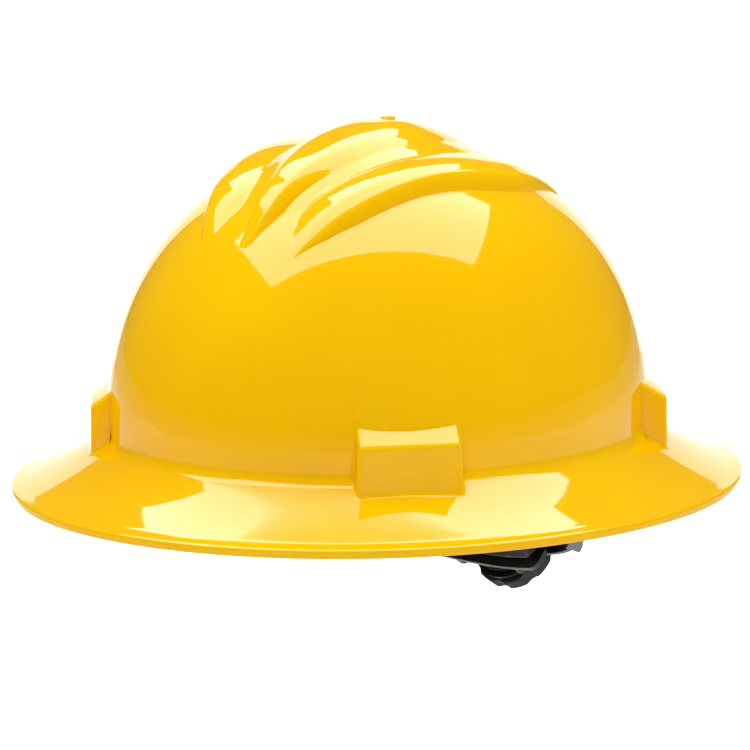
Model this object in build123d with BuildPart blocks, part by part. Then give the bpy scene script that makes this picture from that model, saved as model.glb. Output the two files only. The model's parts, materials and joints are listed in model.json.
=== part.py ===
from build123d import *
import math
import os

# Full brim hard hat with a four point ratchet suspension. Millimetres, +Z up, front towards -Y,
# the wearer's left towards +X. The origin is the centre of the brim's bottom edge.

# Shell
dome_half_width = 103.6
dome_half_length = 116.1
crown_height = 137.6
dome_foot_height = 26.5
dome_roundness = 2.17
wall = 2.4
brim_width = 36.3
brim_bead_width = 3.0
brim_edge_height = 3.7
brim_edge_round = 0.9
lip_inset = 5.4
lip_height = 5.0
brim_foot_height = 20.0
brim_foot_inset = 3.2
brim_middle_height = 10.6
brim_middle_inset = 19.0
fillet_top_height = 25.0

# Crown ridges
ridge_height = 11.0
ridge_half_width = 19.5
side_ridge_height = 9.6
side_ridge_half_width = 10.2
ridge_root = 1.4
ridge_top_share = 0.66
ridge_shoulder_share = 0.86
gate_radius = 3.0
gate_height = 1.4
gate_setback = 6.0

# Key housings on the shell and the sockets in them
housing_top_half_width = 20.2
housing_foot_half_width = 21.6
housing_draft = 0.8
housing_depth = 6.7
housing_edge_height = 36.5
housing_bottom_height = 16.6
housing_slope_depth = 12.0
housing_slope_share = 0.52
housing_edge_round = 1.4
front_housing_angle = 44.4
rear_housing_angle = 49.0
socket_wall = 2.0
socket_depth = 3.2
socket_top_height = 33.5
socket_window_width = 15.0
socket_window_top_height = 30.0

# Suspension keys
key_width = 30.0
key_clearance = 0.3
key_foot_height = 9.0
key_thickness = 2.6
key_plate_gap = 4.2
key_plate_top_height = 33.0
key_bar_height = 4.0
key_window_width = 21.0
key_window_height = 4.5
key_corner_radius = 2.5
key_stud_hole_height = 16.5

# Crown straps and crown pad
strap_width = 19.0
strap_thickness = 1.3
strap_clearance = 0.3
crossing_clearance = 1.0
strap_tail = 20.0
strap_merge = 7.0
strap_crown_height = 103.0
strap_shoulder_reach_share = 0.547
strap_shoulder_drop_share = 0.175
strap_foot_rise = 9.0
crown_pad_radius = 34.0
crown_pad_thickness = 5.0

# Headband, brow pad and hangers
band_half_width = 73.5
band_front_reach = 107.5
band_thickness = 1.6
band_bottom_height = -10.0
band_height = 30.0
band_tail = 10.5
brow_pad_angle = 52.0
brow_pad_thickness = 4.6
brow_pad_overlap = 2.0
brow_pad_round = 1.8
hanger_thickness = 2.2
hanger_width = 12.0
hanger_top_height = 22.0
front_hanger_height = 9.0
hanger_gap = 0.3
hanger_foot_drop = 11.0
rear_hanger_foot_drop = 4.6
rear_hanger_setback = 4.0
rivet_radius = 1.3
rivet_head_radius = 2.2
rivet_head_height = 1.0
rivet_clearance = 0.1

# Nape ring: a ring in a plane tilted down towards the back
nape_tilt = 31.0
nape_centre_setback = 12.5
nape_centre_height = 5.0
arm_inner_radius = 75.5
arm_thickness = 2.0
arm_front_angle = 6.5
arm_tail_angle = 48.0
arm_lip_angle = 18.0
arm_lip = 1.4
arm_corner_radius = 5.5
guide_angle = 4.5
guide_thickness = 1.4
front_guide_angle = 30.0
pivot_radius = 3.2
pivot_head_radius = 5.0
pivot_head_height = 1.2
pivot_clearance = 0.06

# Rack straps and pinion
rack_width = 14.0
rack_thickness = 1.6
rack_clearance = 0.3
rack_corner_radius = 3.0
gear_module = 1.0
pinion_teeth = 8
pressure_angle = 25.0
gear_addendum = 0.9
gear_dedendum = 1.25
gear_backlash = 0.4
rack_travel = 20.0
rack_front_angle = 21.5
rack_end_length = 4.0

# Ratchet case, nape cradle and nape pad
case_half_angle = 16.5
case_wall = 1.8
case_gap = 0.1
back_plate_thickness = 2.6
cradle_drop = 14.5
cradle_rise = 5.0
cradle_half_width = 37.0
cradle_bottom_half_width = 31.0
cradle_corner_radius = 6.5
nape_pad_thickness = 4.6
nape_pad_inset = 2.5
nape_pad_round = 1.8
ear_radius = 2.8
ear_spread = 15.0
ear_depth = 4.6
case_screw_radius = 1.2
case_screw_head_radius = 2.3
case_screw_head_height = 1.2
seat_radius = 14.0
seat_rise = 0.9
detent_wall = 1.8
detent_height = 3.0
detent_teeth = 24
detent_tooth_height = 0.8

# Pinion shaft, pawl disc, knob, grip and screw
shaft_radius = 3.0
shaft_clearance = 0.06
inner_journal_radius = 2.0
pawl_disc_thickness = 1.6
pawl_hub_radius = 5.2
pawl_arm_width = 1.7
pawl_count = 3
pawl_tip_radius = 1.0
fit_gap = 0.3
hex_clearance = 0.08
knob_radius = 18.0
knob_core_radius = 16.2
knob_height = 8.0
knob_skirt_wall = 1.6
knob_skirt_depth = 2.4
knob_round = 1.4
grip_clearance = 0.1
grip_height = 6.4
grip_scallops = 8
grip_scallop_radius = 6.0
grip_scallop_depth = 1.3
knob_screw_radius = 1.3
knob_screw_head_radius = 3.2
knob_screw_head_height = 1.5
knob_screw_length = 9.0
overrun = 6.0

length_ratio = dome_half_length / dome_half_width

os.makedirs("parts", exist_ok=True)


def save(piece, name):
    piece.part.label = name
    export_step(piece.part, "parts/" + name + ".step")


def dome_height(x, y, inset=0.0):
    """Height of the smooth dome above the point x, y."""
    share = math.hypot(x / (dome_half_width - inset), y / (dome_half_length - inset))
    share = min(share, 1.0)
    rise = (1 - share**dome_roundness) ** (1 / dome_roundness)
    return dome_foot_height + (crown_height - inset - dome_foot_height) * rise


def dome_point(turn, inset):
    """Point of the dome's section, turned from the crown at 0 to the foot at 90 degrees."""
    x = (dome_half_width - inset) * math.sin(math.radians(turn)) ** (2 / dome_roundness)
    return (x, dome_height(x, 0, inset))


def shell_face(inset):
    """Half section of the space under the shell's outer face, or under its inner face."""
    radius = dome_half_width - inset
    foot = (dome_half_width + brim_foot_inset - inset / 2, brim_foot_height - inset)
    middle = (dome_half_width + brim_middle_inset - inset / 3, brim_middle_height - inset)
    edge = dome_half_width + brim_width
    bead = edge - brim_bead_width
    with BuildSketch(Plane.XZ) as section:
        with BuildLine():
            crown = TangentArc((0, crown_height - inset), dome_point(36, inset), tangent=(1, 0))
            shoulder = TangentArc(crown @ 1, dome_point(63, inset), tangent=crown % 1)
            TangentArc(shoulder @ 1, (radius, dome_foot_height), tangent=shoulder % 1)
            Line((radius, dome_foot_height), (radius, fillet_top_height))
            TangentArc((radius, fillet_top_height), foot, tangent=(0, -1))
            if inset == 0:
                lip = (edge - lip_inset, lip_height)
                rim_start = (edge - brim_edge_round, brim_edge_height)
                ThreePointArc(foot, middle, lip)
                Line(lip, rim_start)
                TangentArc(rim_start, (edge, brim_edge_height - brim_edge_round), tangent=(1, 0))
                Polyline(
                    (edge, brim_edge_height - brim_edge_round),
                    (edge, -overrun),
                    (0, -overrun),
                    (0, crown_height),
                )
            else:
                lip = (bead - inset, lip_height - inset)
                ThreePointArc(foot, middle, lip)
                Polyline(lip, (bead, 0), (bead, -2 * overrun), (0, -2 * overrun), (0, crown_height - inset))
        make_face()
    return section.sketch


# Each row of a ridge: its place along the hat and across it, its half width and its height, as shares
# of the dome's half length, the dome's half width, and the ridge's own half width and height.
centre_ridge_shares = (
    (-0.749, 0.0, 0.31, -0.09),
    (-0.663, 0.0, 0.51, 0.20),
    (-0.568, 0.0, 0.72, 0.50),
    (-0.448, 0.0, 0.86, 0.71),
    (-0.250, 0.0, 0.97, 0.85),
    (0.000, 0.0, 1.00, 1.00),
    (0.215, 0.0, 0.93, 0.71),
    (0.379, 0.0, 0.77, 0.39),
    (0.551, 0.0, 0.49, 0.15),
    (0.689, 0.0, 0.23, -0.09),
)
side_ridge_shares = (
    (-0.758, 0.198, 0.34, -0.10),
    (-0.663, 0.246, 0.55, 0.13),
    (-0.568, 0.293, 0.70, 0.42),
    (-0.448, 0.351, 0.81, 0.75),
    (-0.300, 0.404, 0.90, 0.94),
    (-0.086, 0.456, 0.98, 1.00),
    (0.138, 0.471, 1.00, 0.885),
    (0.327, 0.456, 0.92, 0.615),
    (0.482, 0.425, 0.725, 0.29),
    (0.637, 0.380, 0.37, -0.09),
)


def ridge(shares, side, height, half_width, inset):
    """One crown ridge as a loft through upright sections across the hat."""
    sections = []
    for along, across, width_share, height_share in shares:
        y = along * dome_half_length
        centre = side * across * dome_half_width
        foot = width_share * half_width
        top = foot * ridge_top_share
        rise = height_share * height - inset / 4
        root = ridge_root + inset
        with BuildSketch(Plane.XZ.offset(-y)) as section:
            with BuildLine():
                left_foot = (centre - foot, dome_height(centre - foot, y, inset) - root)
                right_foot = (centre + foot, dome_height(centre + foot, y, inset) - root)
                left_top = (centre - top, dome_height(centre - top, y, inset) + rise * ridge_shoulder_share)
                right_top = (centre + top, dome_height(centre + top, y, inset) + rise * ridge_shoulder_share)
                crest = (centre, dome_height(centre, y, inset) + rise)
                Line(left_foot, left_top)
                ThreePointArc(left_top, crest, right_top)
                Line(right_top, right_foot)
                Line(right_foot, left_foot)
            make_face()
        sections.append(section.sketch.faces()[0])
    loft(sections)


ridges = (
    (centre_ridge_shares, 0, ridge_height, ridge_half_width),
    (side_ridge_shares, 1, side_ridge_height, side_ridge_half_width),
    (side_ridge_shares, -1, side_ridge_height, side_ridge_half_width),
)


def housing_place(side, back):
    """Point on the dome's foot under a key housing, and the housing's outward direction."""
    angle = math.radians(rear_housing_angle if back else front_housing_angle)
    x = side * math.sin(angle)
    y = math.cos(angle) * (1 if back else -1)
    reach = 1 / math.hypot(x / dome_half_width, y / dome_half_length)
    return Vector(x * reach, y * reach, 0)


def housing_plane(side, back):
    """Frame of a key housing: local X across it, local Y up, local Z outwards."""
    here = housing_place(side, back)
    there = housing_place(-side, not back)
    outward = (here - there).normalized()
    across = Vector(-outward.Y, outward.X, 0)
    return Plane(origin=here, x_dir=across, z_dir=outward)


corners = {
    "front_left": (1, False),
    "front_right": (-1, False),
    "rear_left": (1, True),
    "rear_right": (-1, True),
}


def key_socket(frame):
    """Slot that takes a key's blade, with a window in its inner wall."""
    slot_bottom = socket_top_height / 2
    slot_top = housing_depth - socket_wall
    with BuildSketch(frame.offset(slot_top - socket_depth)) as slot:
        with Locations((0, slot_bottom)):
            Rectangle(key_width + 2 * key_clearance, socket_top_height)
    extrude(slot.sketch, amount=socket_depth, mode=Mode.SUBTRACT)
    with BuildSketch(frame.offset(slot_top - socket_depth - overrun)) as window:
        with Locations((0, socket_window_top_height / 2)):
            Rectangle(socket_window_width, socket_window_top_height)
    extrude(window.sketch, amount=overrun + socket_depth / 2, mode=Mode.SUBTRACT)


def housing_block(frame):
    """Drafted block with a slanted top that stands out of the dome's foot."""
    root_top = housing_edge_height + (housing_slope_depth + housing_depth) * housing_slope_share
    with BuildPart(mode=Mode.PRIVATE) as block:
        for place, foot_half, top in (
            (-housing_slope_depth, housing_foot_half_width + housing_draft, root_top),
            (housing_depth, housing_foot_half_width, housing_edge_height),
        ):
            with BuildSketch(frame.offset(place)):
                with BuildLine():
                    Polyline(
                        (-foot_half, housing_bottom_height),
                        (foot_half, housing_bottom_height),
                        (housing_top_half_width, top),
                        (-housing_top_half_width, top),
                        close=True,
                    )
                make_face()
        loft()
        outer = block.faces().sort_by(Axis(frame.origin, frame.z_dir))[-1]
        fillet(outer.edges(), radius=housing_edge_round)
    return block.part


with BuildPart() as cavity:
    revolve(shell_face(wall), axis=Axis.Z)
    scale(by=(1, length_ratio, 1))
    for shares, side, height, half_width in ridges:
        ridge(shares, side, height - wall / 2, half_width - wall, wall)

with BuildPart() as shell:
    revolve(shell_face(0), axis=Axis.Z)
    scale(by=(1, length_ratio, 1))
    for shares, side, height, half_width in ridges:
        ridge(shares, side, height, half_width, 0)
    for side, back in corners.values():
        add(housing_block(housing_plane(side, back)))
    gate_top = dome_height(0, gate_setback) + ridge_height + gate_height
    with BuildSketch(Plane.XY.offset(gate_top - gate_height - ridge_height / 2)):
        with Locations((0, gate_setback)):
            Circle(gate_radius)
    extrude(amount=gate_height + ridge_height / 2)
    add(cavity.part, mode=Mode.SUBTRACT)
    for side, back in corners.values():
        key_socket(housing_plane(side, back))
    split(bisect_by=Plane.XY, keep=Keep.TOP)
save(shell, "shell")


def side_plane(frame):
    """Upright plane through a housing: local X outwards, local Y up."""
    outward = frame.z_dir
    return Plane(origin=frame.origin, x_dir=outward, z_dir=Vector(outward.Y, -outward.X, 0))


plate_outer = -(wall + key_plate_gap)
plate_inner = plate_outer - key_thickness
blade_outer = housing_depth - socket_wall - key_clearance
blade_top = socket_top_height - key_clearance
foot_top = key_foot_height + key_thickness
window_top = key_plate_top_height - key_bar_height
stud_clearance_radius = rivet_radius + rivet_clearance

for name, (side, back) in corners.items():
    frame = housing_plane(side, back)
    with BuildPart() as key:
        with BuildSketch(side_plane(frame)):
            with BuildLine():
                Polyline(
                    (plate_inner, key_foot_height),
                    (blade_outer, key_foot_height),
                    (blade_outer, blade_top),
                    (blade_outer - key_thickness, blade_top),
                    (blade_outer - key_thickness, foot_top),
                    (plate_outer, foot_top),
                    (plate_outer, key_plate_top_height),
                    (plate_inner, key_plate_top_height),
                    close=True,
                )
            make_face()
        extrude(amount=key_width / 2, both=True)
        outward_edges = key.edges().filter_by(Axis(frame.origin, frame.z_dir)).group_by(Axis.Z)
        fillet(outward_edges[-1] + outward_edges[-2], radius=key_corner_radius)
        with BuildSketch(frame.offset(plate_inner - overrun)):
            with Locations((0, window_top - key_window_height / 2)):
                Rectangle(key_window_width, key_window_height)
            with Locations((0, key_stud_hole_height)):
                Circle(stud_clearance_radius)
        extrude(amount=overrun + key_thickness + overrun / 2, mode=Mode.SUBTRACT)
    save(key, name + "_key")

# Each crown strap runs in one upright plane from a front key, over the crown, to the opposite rear key.
strap_levels = {"front_left_strap": (1, 0), "front_right_strap": (-1, 1)}
bar_turn = (key_thickness + strap_thickness) / 2 + strap_clearance
bar_middle = (plate_outer + plate_inner) / 2

for name, (side, level) in strap_levels.items():
    front_frame = housing_plane(side, False)
    rear_frame = housing_plane(-side, True)
    half_span = (front_frame.origin - rear_frame.origin).length / 2
    middle = (front_frame.origin + rear_frame.origin) * 0.5
    outward = front_frame.z_dir
    strap_plane = Plane(origin=middle, x_dir=outward, z_dir=Vector(outward.Y, -outward.X, 0))
    crown = strap_crown_height + level * (strap_thickness + crossing_clearance)
    inner_run = half_span + bar_middle - bar_turn
    outer_run = half_span + bar_middle + bar_turn
    run_top = key_plate_top_height + strap_foot_rise / 2
    merge_top = key_plate_top_height + strap_merge
    shoulder_drop = (crown - merge_top) * strap_shoulder_drop_share
    shoulder = (inner_run * strap_shoulder_reach_share, crown - shoulder_drop)
    with BuildPart() as strap:
        with BuildSketch(strap_plane):
            with BuildLine():
                over = ThreePointArc((-shoulder[0], shoulder[1]), (0, crown), shoulder)
                down = TangentArc(shoulder, (inner_run, merge_top), tangent=over % 1)
                Line(down @ 1, (inner_run, window_top))
                turn_low = (half_span + bar_middle, window_top - bar_turn)
                ThreePointArc((inner_run, window_top), turn_low, (outer_run, window_top))
                Line((outer_run, window_top), (outer_run, run_top))
                merge = (inner_run + strap_thickness, merge_top + strap_thickness)
                Line((outer_run, run_top), merge)
                Line(merge, (inner_run - strap_thickness, merge_top + strap_tail))
            trace(line_width=strap_thickness)
        extrude(amount=strap_width / 2, both=True)
        mirror(about=Plane(origin=middle, z_dir=outward))
    save(strap, name)

# Crown pad: a shallow dish under the crossing of the straps
pad_top = strap_crown_height - strap_thickness / 2 - strap_clearance
shoulder_reach = inner_run * strap_shoulder_reach_share
shoulder_drop = (strap_crown_height - merge_top) * strap_shoulder_drop_share
strap_arc_radius = (shoulder_reach**2 + shoulder_drop**2) / (2 * shoulder_drop)
left_frame = housing_plane(1, False)
crossing_setback = left_frame.origin.Y - left_frame.origin.X * left_frame.z_dir.Y / left_frame.z_dir.X
strap_middle = (left_frame.origin + housing_plane(-1, True).origin) * 0.5
crossing_offset = (strap_middle - Vector(0, crossing_setback, 0)).length
pad_drop = crossing_offset * (2 * crown_pad_radius + crossing_offset) / (2 * strap_arc_radius)
pad_edge = crown_pad_radius - crown_pad_thickness / 2
pad_crown = pad_top - pad_drop
pad_rim = pad_crown - pad_edge**2 / (2 * strap_arc_radius)

with BuildPart() as crown_pad:
    with BuildSketch(Plane.XZ.offset(-crossing_setback)) as pad_section:
        with BuildLine():
            TangentArc((0, pad_crown), (pad_edge, pad_rim), tangent=(1, 0))
            rim_middle = (crown_pad_radius, pad_rim - crown_pad_thickness / 2)
            ThreePointArc((pad_edge, pad_rim), rim_middle, (pad_edge, pad_rim - crown_pad_thickness))
            TangentArc(
                (0, pad_crown - crown_pad_thickness),
                (pad_edge, pad_rim - crown_pad_thickness),
                tangent=(1, 0),
            )
            Line((0, pad_crown - crown_pad_thickness), (0, pad_crown))
        make_face()
    revolve(pad_section.sketch, axis=Axis((0, crossing_setback, 0), (0, 0, 1)))
save(crown_pad, "crown_pad")


def band_frame(point):
    """Frame on the headband's outer face: local X along it, local Y up, local Z outwards."""
    outward = Vector(point.X / band_half_width**2, (point.Y - nape_centre_setback) / band_front_reach**2, 0)
    outward = outward.normalized()
    return Plane(origin=point, x_dir=Vector(-outward.Y, outward.X, 0), z_dir=outward)


def band_meeting(frame):
    """Point where the way inwards from a front housing meets the headband's outer face."""
    across = frame.origin.X / band_half_width
    along = (frame.origin.Y - nape_centre_setback) / band_front_reach
    across_step = -frame.z_dir.X / band_half_width
    along_step = -frame.z_dir.Y / band_front_reach
    square = across_step**2 + along_step**2
    half_slope = across * across_step + along * along_step
    rest = across**2 + along**2 - 1
    way = (-half_slope - math.sqrt(half_slope**2 - square * rest)) / square
    return frame.origin - frame.z_dir * way


def band_side(side, setback):
    """Point of the headband's outer face behind the nape ring's centre."""
    x = side * band_half_width * math.sqrt(1 - (setback / band_front_reach) ** 2)
    return Vector(x, nape_centre_setback + setback, 0)


rear_hanger_height = band_bottom_height + band_height + hanger_gap
hanger_places = {}
for name, (side, back) in corners.items():
    if back:
        foot_frame = band_frame(band_side(side, rear_hanger_setback))
        top = rear_hanger_height
        low = top - rear_hanger_foot_drop
    else:
        foot_frame = band_frame(band_meeting(housing_plane(side, back)))
        top = front_hanger_height
        low = top - hanger_foot_drop
    hanger_places[name] = (foot_frame, low, top)

with BuildPart() as headband:
    with BuildSketch(Plane.XY.offset(band_bottom_height)):
        with Locations((0, nape_centre_setback)):
            Ellipse(band_half_width, band_front_reach)
            Ellipse(band_half_width - band_thickness, band_front_reach - band_thickness, mode=Mode.SUBTRACT)
        with Locations((0, nape_centre_setback + band_tail + band_front_reach / 2)):
            Rectangle(3 * band_half_width, band_front_reach, mode=Mode.SUBTRACT)
    extrude(amount=band_height)
    for foot_frame, low, top in hanger_places.values():
        with BuildSketch(foot_frame.offset(-overrun / 2)):
            with Locations((0, (low + top) / 2)):
                Circle(rivet_radius + rivet_clearance)
        extrude(amount=overrun, mode=Mode.SUBTRACT)
    with BuildSketch(Plane.YZ.offset(-2 * band_half_width)):
        with Locations((nape_centre_setback, nape_centre_height)):
            Circle(pivot_radius + rivet_clearance)
    extrude(amount=4 * band_half_width, mode=Mode.SUBTRACT)
save(headband, "headband")

pad_outset = band_thickness + strap_clearance
with BuildPart() as brow_pad:
    with BuildSketch(Plane.XY.offset(band_bottom_height - brow_pad_overlap)):
        with Locations((0, nape_centre_setback)):
            Ellipse(band_half_width - pad_outset, band_front_reach - pad_outset)
            Ellipse(
                band_half_width - pad_outset - brow_pad_thickness,
                band_front_reach - pad_outset - brow_pad_thickness,
                mode=Mode.SUBTRACT,
            )
        pad_reach = 2 * band_front_reach
        pad_side = pad_reach * math.tan(math.radians(brow_pad_angle))
        with BuildLine():
            Polyline(
                (0, nape_centre_setback),
                (-pad_side, nape_centre_setback - pad_reach),
                (pad_side, nape_centre_setback - pad_reach),
                close=True,
            )
        make_face(mode=Mode.INTERSECT)
    extrude(amount=band_height + 2 * brow_pad_overlap)
    fillet(brow_pad.edges().filter_by(Axis.Z), radius=brow_pad_round)
    for name in ("front_left", "front_right"):
        foot_frame, low, top = hanger_places[name]
        with BuildSketch(foot_frame.offset(-pad_outset - rivet_head_height)):
            with Locations((0, (low + top) / 2)):
                Circle(rivet_head_radius + strap_clearance)
        extrude(amount=pad_outset + rivet_head_height, mode=Mode.SUBTRACT)
save(brow_pad, "brow_pad")

hanger_face = plate_inner - hanger_gap


def tab_outline(frame):
    """Corners of a hanger tab, seen from above."""
    half = hanger_width / 2
    places = ((-half, 0), (half, 0), (half, hanger_thickness), (-half, hanger_thickness))
    points = [frame.from_local_coords(Vector(x, 0, z)) for x, z in places]
    return [(point.X, point.Y) for point in points]


for name, (side, back) in corners.items():
    key_tab = housing_plane(side, back).offset(hanger_face - hanger_thickness)
    foot_frame, low, top = hanger_places[name]
    foot_tab = foot_frame.offset(hanger_gap)
    with BuildPart() as hanger:
        with BuildSketch(Plane.XY.offset(top)):
            with BuildLine():
                Polyline(*tab_outline(key_tab), close=True)
                Polyline(*tab_outline(foot_tab), close=True)
            make_hull()
        extrude(amount=hanger_thickness)
        with BuildSketch(key_tab):
            with Locations((0, (key_stud_hole_height - hanger_width / 2 + hanger_top_height) / 2)):
                Rectangle(hanger_width, hanger_top_height - key_stud_hole_height + hanger_width / 2)
        extrude(amount=hanger_thickness)
        with BuildSketch(key_tab.offset(hanger_thickness)):
            with Locations((0, key_stud_hole_height)):
                Circle(rivet_radius)
        extrude(amount=hanger_gap + key_thickness + hanger_gap)
        with BuildSketch(foot_tab):
            with Locations((0, (low + top + hanger_thickness) / 2)):
                Rectangle(hanger_width, top + hanger_thickness - low)
            with Locations((0, (low + top) / 2)):
                Circle(rivet_radius + rivet_clearance, mode=Mode.SUBTRACT)
        extrude(amount=hanger_thickness)
    save(hanger, name + "_hanger")

with BuildPart() as hanger_rivets:
    for foot_frame, low, top in hanger_places.values():
        middle = (0, (low + top) / 2)
        inner_face = -(band_thickness + strap_clearance)
        outer_face = hanger_gap + hanger_thickness + rivet_clearance
        for start, length, radius in (
            (inner_face - rivet_head_height / 2, outer_face - inner_face + rivet_head_height, rivet_radius),
            (inner_face - rivet_head_height, rivet_head_height, rivet_head_radius),
            (outer_face, rivet_head_height, rivet_head_radius),
        ):
            with BuildSketch(foot_frame.offset(start)):
                with Locations(middle):
                    Circle(radius)
            extrude(amount=length)
save(hanger_rivets, "hanger_rivets")

# Nape ring: local X across the hat, local Y from its centre to the back, local Z along its axis.
tilt = math.radians(nape_tilt)
nape = Plane(
    origin=(0, nape_centre_setback, nape_centre_height),
    x_dir=(1, 0, 0),
    z_dir=(0, math.sin(tilt), math.cos(tilt)),
)


def ring_piece(inner, outer, start, end, low, high, mode=Mode.ADD):
    """Stretch of the nape ring between two radii, two angles and two levels."""
    with BuildSketch(nape.offset(low)) as section:
        with BuildLine():
            inside = CenterArc((0, 0), inner, start, end - start)
            outside = CenterArc((0, 0), outer, start, end - start)
            Line(inside @ 0, outside @ 0)
            Line(inside @ 1, outside @ 1)
        make_face()
    extrude(section.sketch, amount=high - low, mode=mode)


def radial_frame(angle, reach):
    """Frame on the nape ring: local X along it, local Y along its axis, local Z outwards."""
    turn = math.radians(angle)
    outward = nape.x_dir * math.cos(turn) + nape.y_dir * math.sin(turn)
    along = nape.y_dir * math.cos(turn) - nape.x_dir * math.sin(turn)
    return Plane(origin=nape.origin + outward * reach, x_dir=along, z_dir=outward)


def disc(reach, length, radius, mode=Mode.ADD, place=(0, 0)):
    """Round piece on an axis that points from the ring's centre to the back."""
    with BuildSketch(radial_frame(90, reach)) as circle:
        with Locations(place):
            Circle(radius)
    extrude(circle.sketch, amount=length, mode=mode)


pitch = math.pi * gear_module
pitch_radius = gear_module * pinion_teeth / 2
tip_radius = pitch_radius + gear_addendum
root_radius = pitch_radius - gear_dedendum
half_rack = rack_width / 2
channel_half = half_rack + rack_clearance
arm_half = channel_half + arm_lip
layer = rack_thickness + rack_clearance
rack_start = arm_inner_radius + arm_thickness + rack_clearance
sides = {"left": (1, 0), "right": (-1, 1)}


def side_angles(side, start, end):
    """Angles of a stretch given from the wearer's side towards the back, for either side."""
    return (start, end) if side > 0 else (180 - end, 180 - start)


for name, (side, level) in sides.items():
    base_outer = arm_inner_radius + arm_thickness + level * layer
    channel_outer = base_outer + rack_clearance + rack_thickness + rack_clearance
    with BuildPart() as arm:
        start, end = side_angles(side, -arm_front_angle, arm_tail_angle)
        ring_piece(arm_inner_radius, base_outer, start, end, -arm_half, arm_half)
        across_edges = arm.edges().filter_by(GeomType.LINE).filter_by(
            lambda edge: abs((edge % 0).dot(nape.z_dir)) < 0.5
        )
        fillet(across_edges, radius=arm_corner_radius)
        start, end = side_angles(side, arm_lip_angle, arm_tail_angle - guide_angle)
        for low in (-arm_half, channel_half):
            lip_inner = base_outer - arm_thickness / 2
            ring_piece(lip_inner, channel_outer + guide_thickness, start, end, low, low + arm_lip)
        for guide in (front_guide_angle, arm_tail_angle - 2 * guide_angle):
            start, end = side_angles(side, guide, guide + guide_angle)
            ring_piece(channel_outer, channel_outer + guide_thickness, start, end, -arm_half, arm_half)
        pivot_length = base_outer + overrun
        with BuildSketch(Plane.YZ):
            with Locations((nape_centre_setback, nape_centre_height)):
                Circle(pivot_radius + pivot_clearance)
        extrude(amount=side * pivot_length, mode=Mode.SUBTRACT)
    save(arm, name + "_nape_arm")

    head_start = band_half_width - band_thickness - rivet_clearance - pivot_head_height
    stud_end = base_outer + strap_clearance
    with BuildPart() as stud:
        for start, length, radius in (
            (head_start, pivot_head_height, pivot_head_radius),
            (head_start, stud_end - head_start + pivot_head_height / 2, pivot_radius),
            (stud_end, pivot_head_height, pivot_head_radius),
        ):
            with BuildSketch(Plane.YZ.offset(side * start)):
                with Locations((nape_centre_setback, nape_centre_height)):
                    Circle(radius)
            extrude(amount=side * length)
    save(stud, name + "_pivot_stud")

# Rack straps: the left one inside the right one where they cross in the ratchet case
window_reach = rack_travel + tip_radius + gear_backlash
tooth_count = math.floor((rack_travel + tip_radius / 2) / pitch)
for name, (side, level) in sides.items():
    inner = rack_start + level * layer
    outer = inner + rack_thickness
    mean = inner + rack_thickness / 2
    tail_angle = math.degrees((window_reach + rack_end_length) / mean)
    window_angle = math.degrees(window_reach / mean)
    start, end = side_angles(side, rack_front_angle, 90 + tail_angle)
    toothed_level = side * (pitch_radius + gear_dedendum)
    plain_level = -side * (tip_radius + rack_clearance)
    with BuildPart() as rack:
        ring_piece(inner, outer, start, end, -half_rack, half_rack)
        across_edges = rack.edges().filter_by(GeomType.LINE).filter_by(
            lambda edge: abs((edge % 0).dot(nape.z_dir)) < 0.5
        )
        fillet(across_edges, radius=rack_corner_radius)
        low, high = sorted((toothed_level, plain_level))
        ring_piece(
            inner - rack_clearance,
            outer + rack_clearance,
            90 - window_angle,
            90 + window_angle,
            low,
            high,
            mode=Mode.SUBTRACT,
        )
        lean = math.tan(math.radians(pressure_angle))
        middle_half = pitch / 4 - gear_backlash / 4
        root_half = middle_half + gear_dedendum * lean
        tip_half = middle_half - gear_addendum * lean
        for tooth in range(-tooth_count - 1, tooth_count + 1):
            angle = 90 + math.degrees((tooth + 0.5) * pitch / mean)
            with BuildSketch(radial_frame(angle, inner)) as tooth_face:
                with BuildLine():
                    Polyline(
                        (-root_half, toothed_level + side * gear_addendum / 2),
                        (-root_half, toothed_level),
                        (-tip_half, toothed_level - side * (gear_addendum + gear_dedendum)),
                        (tip_half, toothed_level - side * (gear_addendum + gear_dedendum)),
                        (root_half, toothed_level),
                        (root_half, toothed_level + side * gear_addendum / 2),
                        close=True,
                    )
                make_face()
            extrude(tooth_face.sketch, amount=rack_thickness)
    save(rack, name + "_rack_strap")

# Ratchet case: a cover and a back plate around the crossing rack straps
channel_outer = rack_start + layer + rack_thickness + rack_clearance
case_inner = arm_inner_radius + arm_thickness
case_outer = channel_outer + case_wall
case_half = channel_half + case_wall
plate_high = case_inner - case_gap
plate_low = plate_high - back_plate_thickness
case_start = 90 - case_half_angle
case_end = 90 + case_half_angle
seat_face = case_outer + seat_rise
ear_level = case_half + case_screw_head_radius + rivet_clearance
ear_places = [(x, level) for x in (-ear_spread, ear_spread) for level in (-ear_level, ear_level)]
ear_top = case_inner + ear_depth - ear_radius / 2
ear_bottom = math.sqrt(plate_low**2 - ear_spread**2)
screw_bore = case_screw_radius + rivet_clearance
clear_start = 90 - 2 * case_half_angle
clear_end = 90 + 2 * case_half_angle

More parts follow.
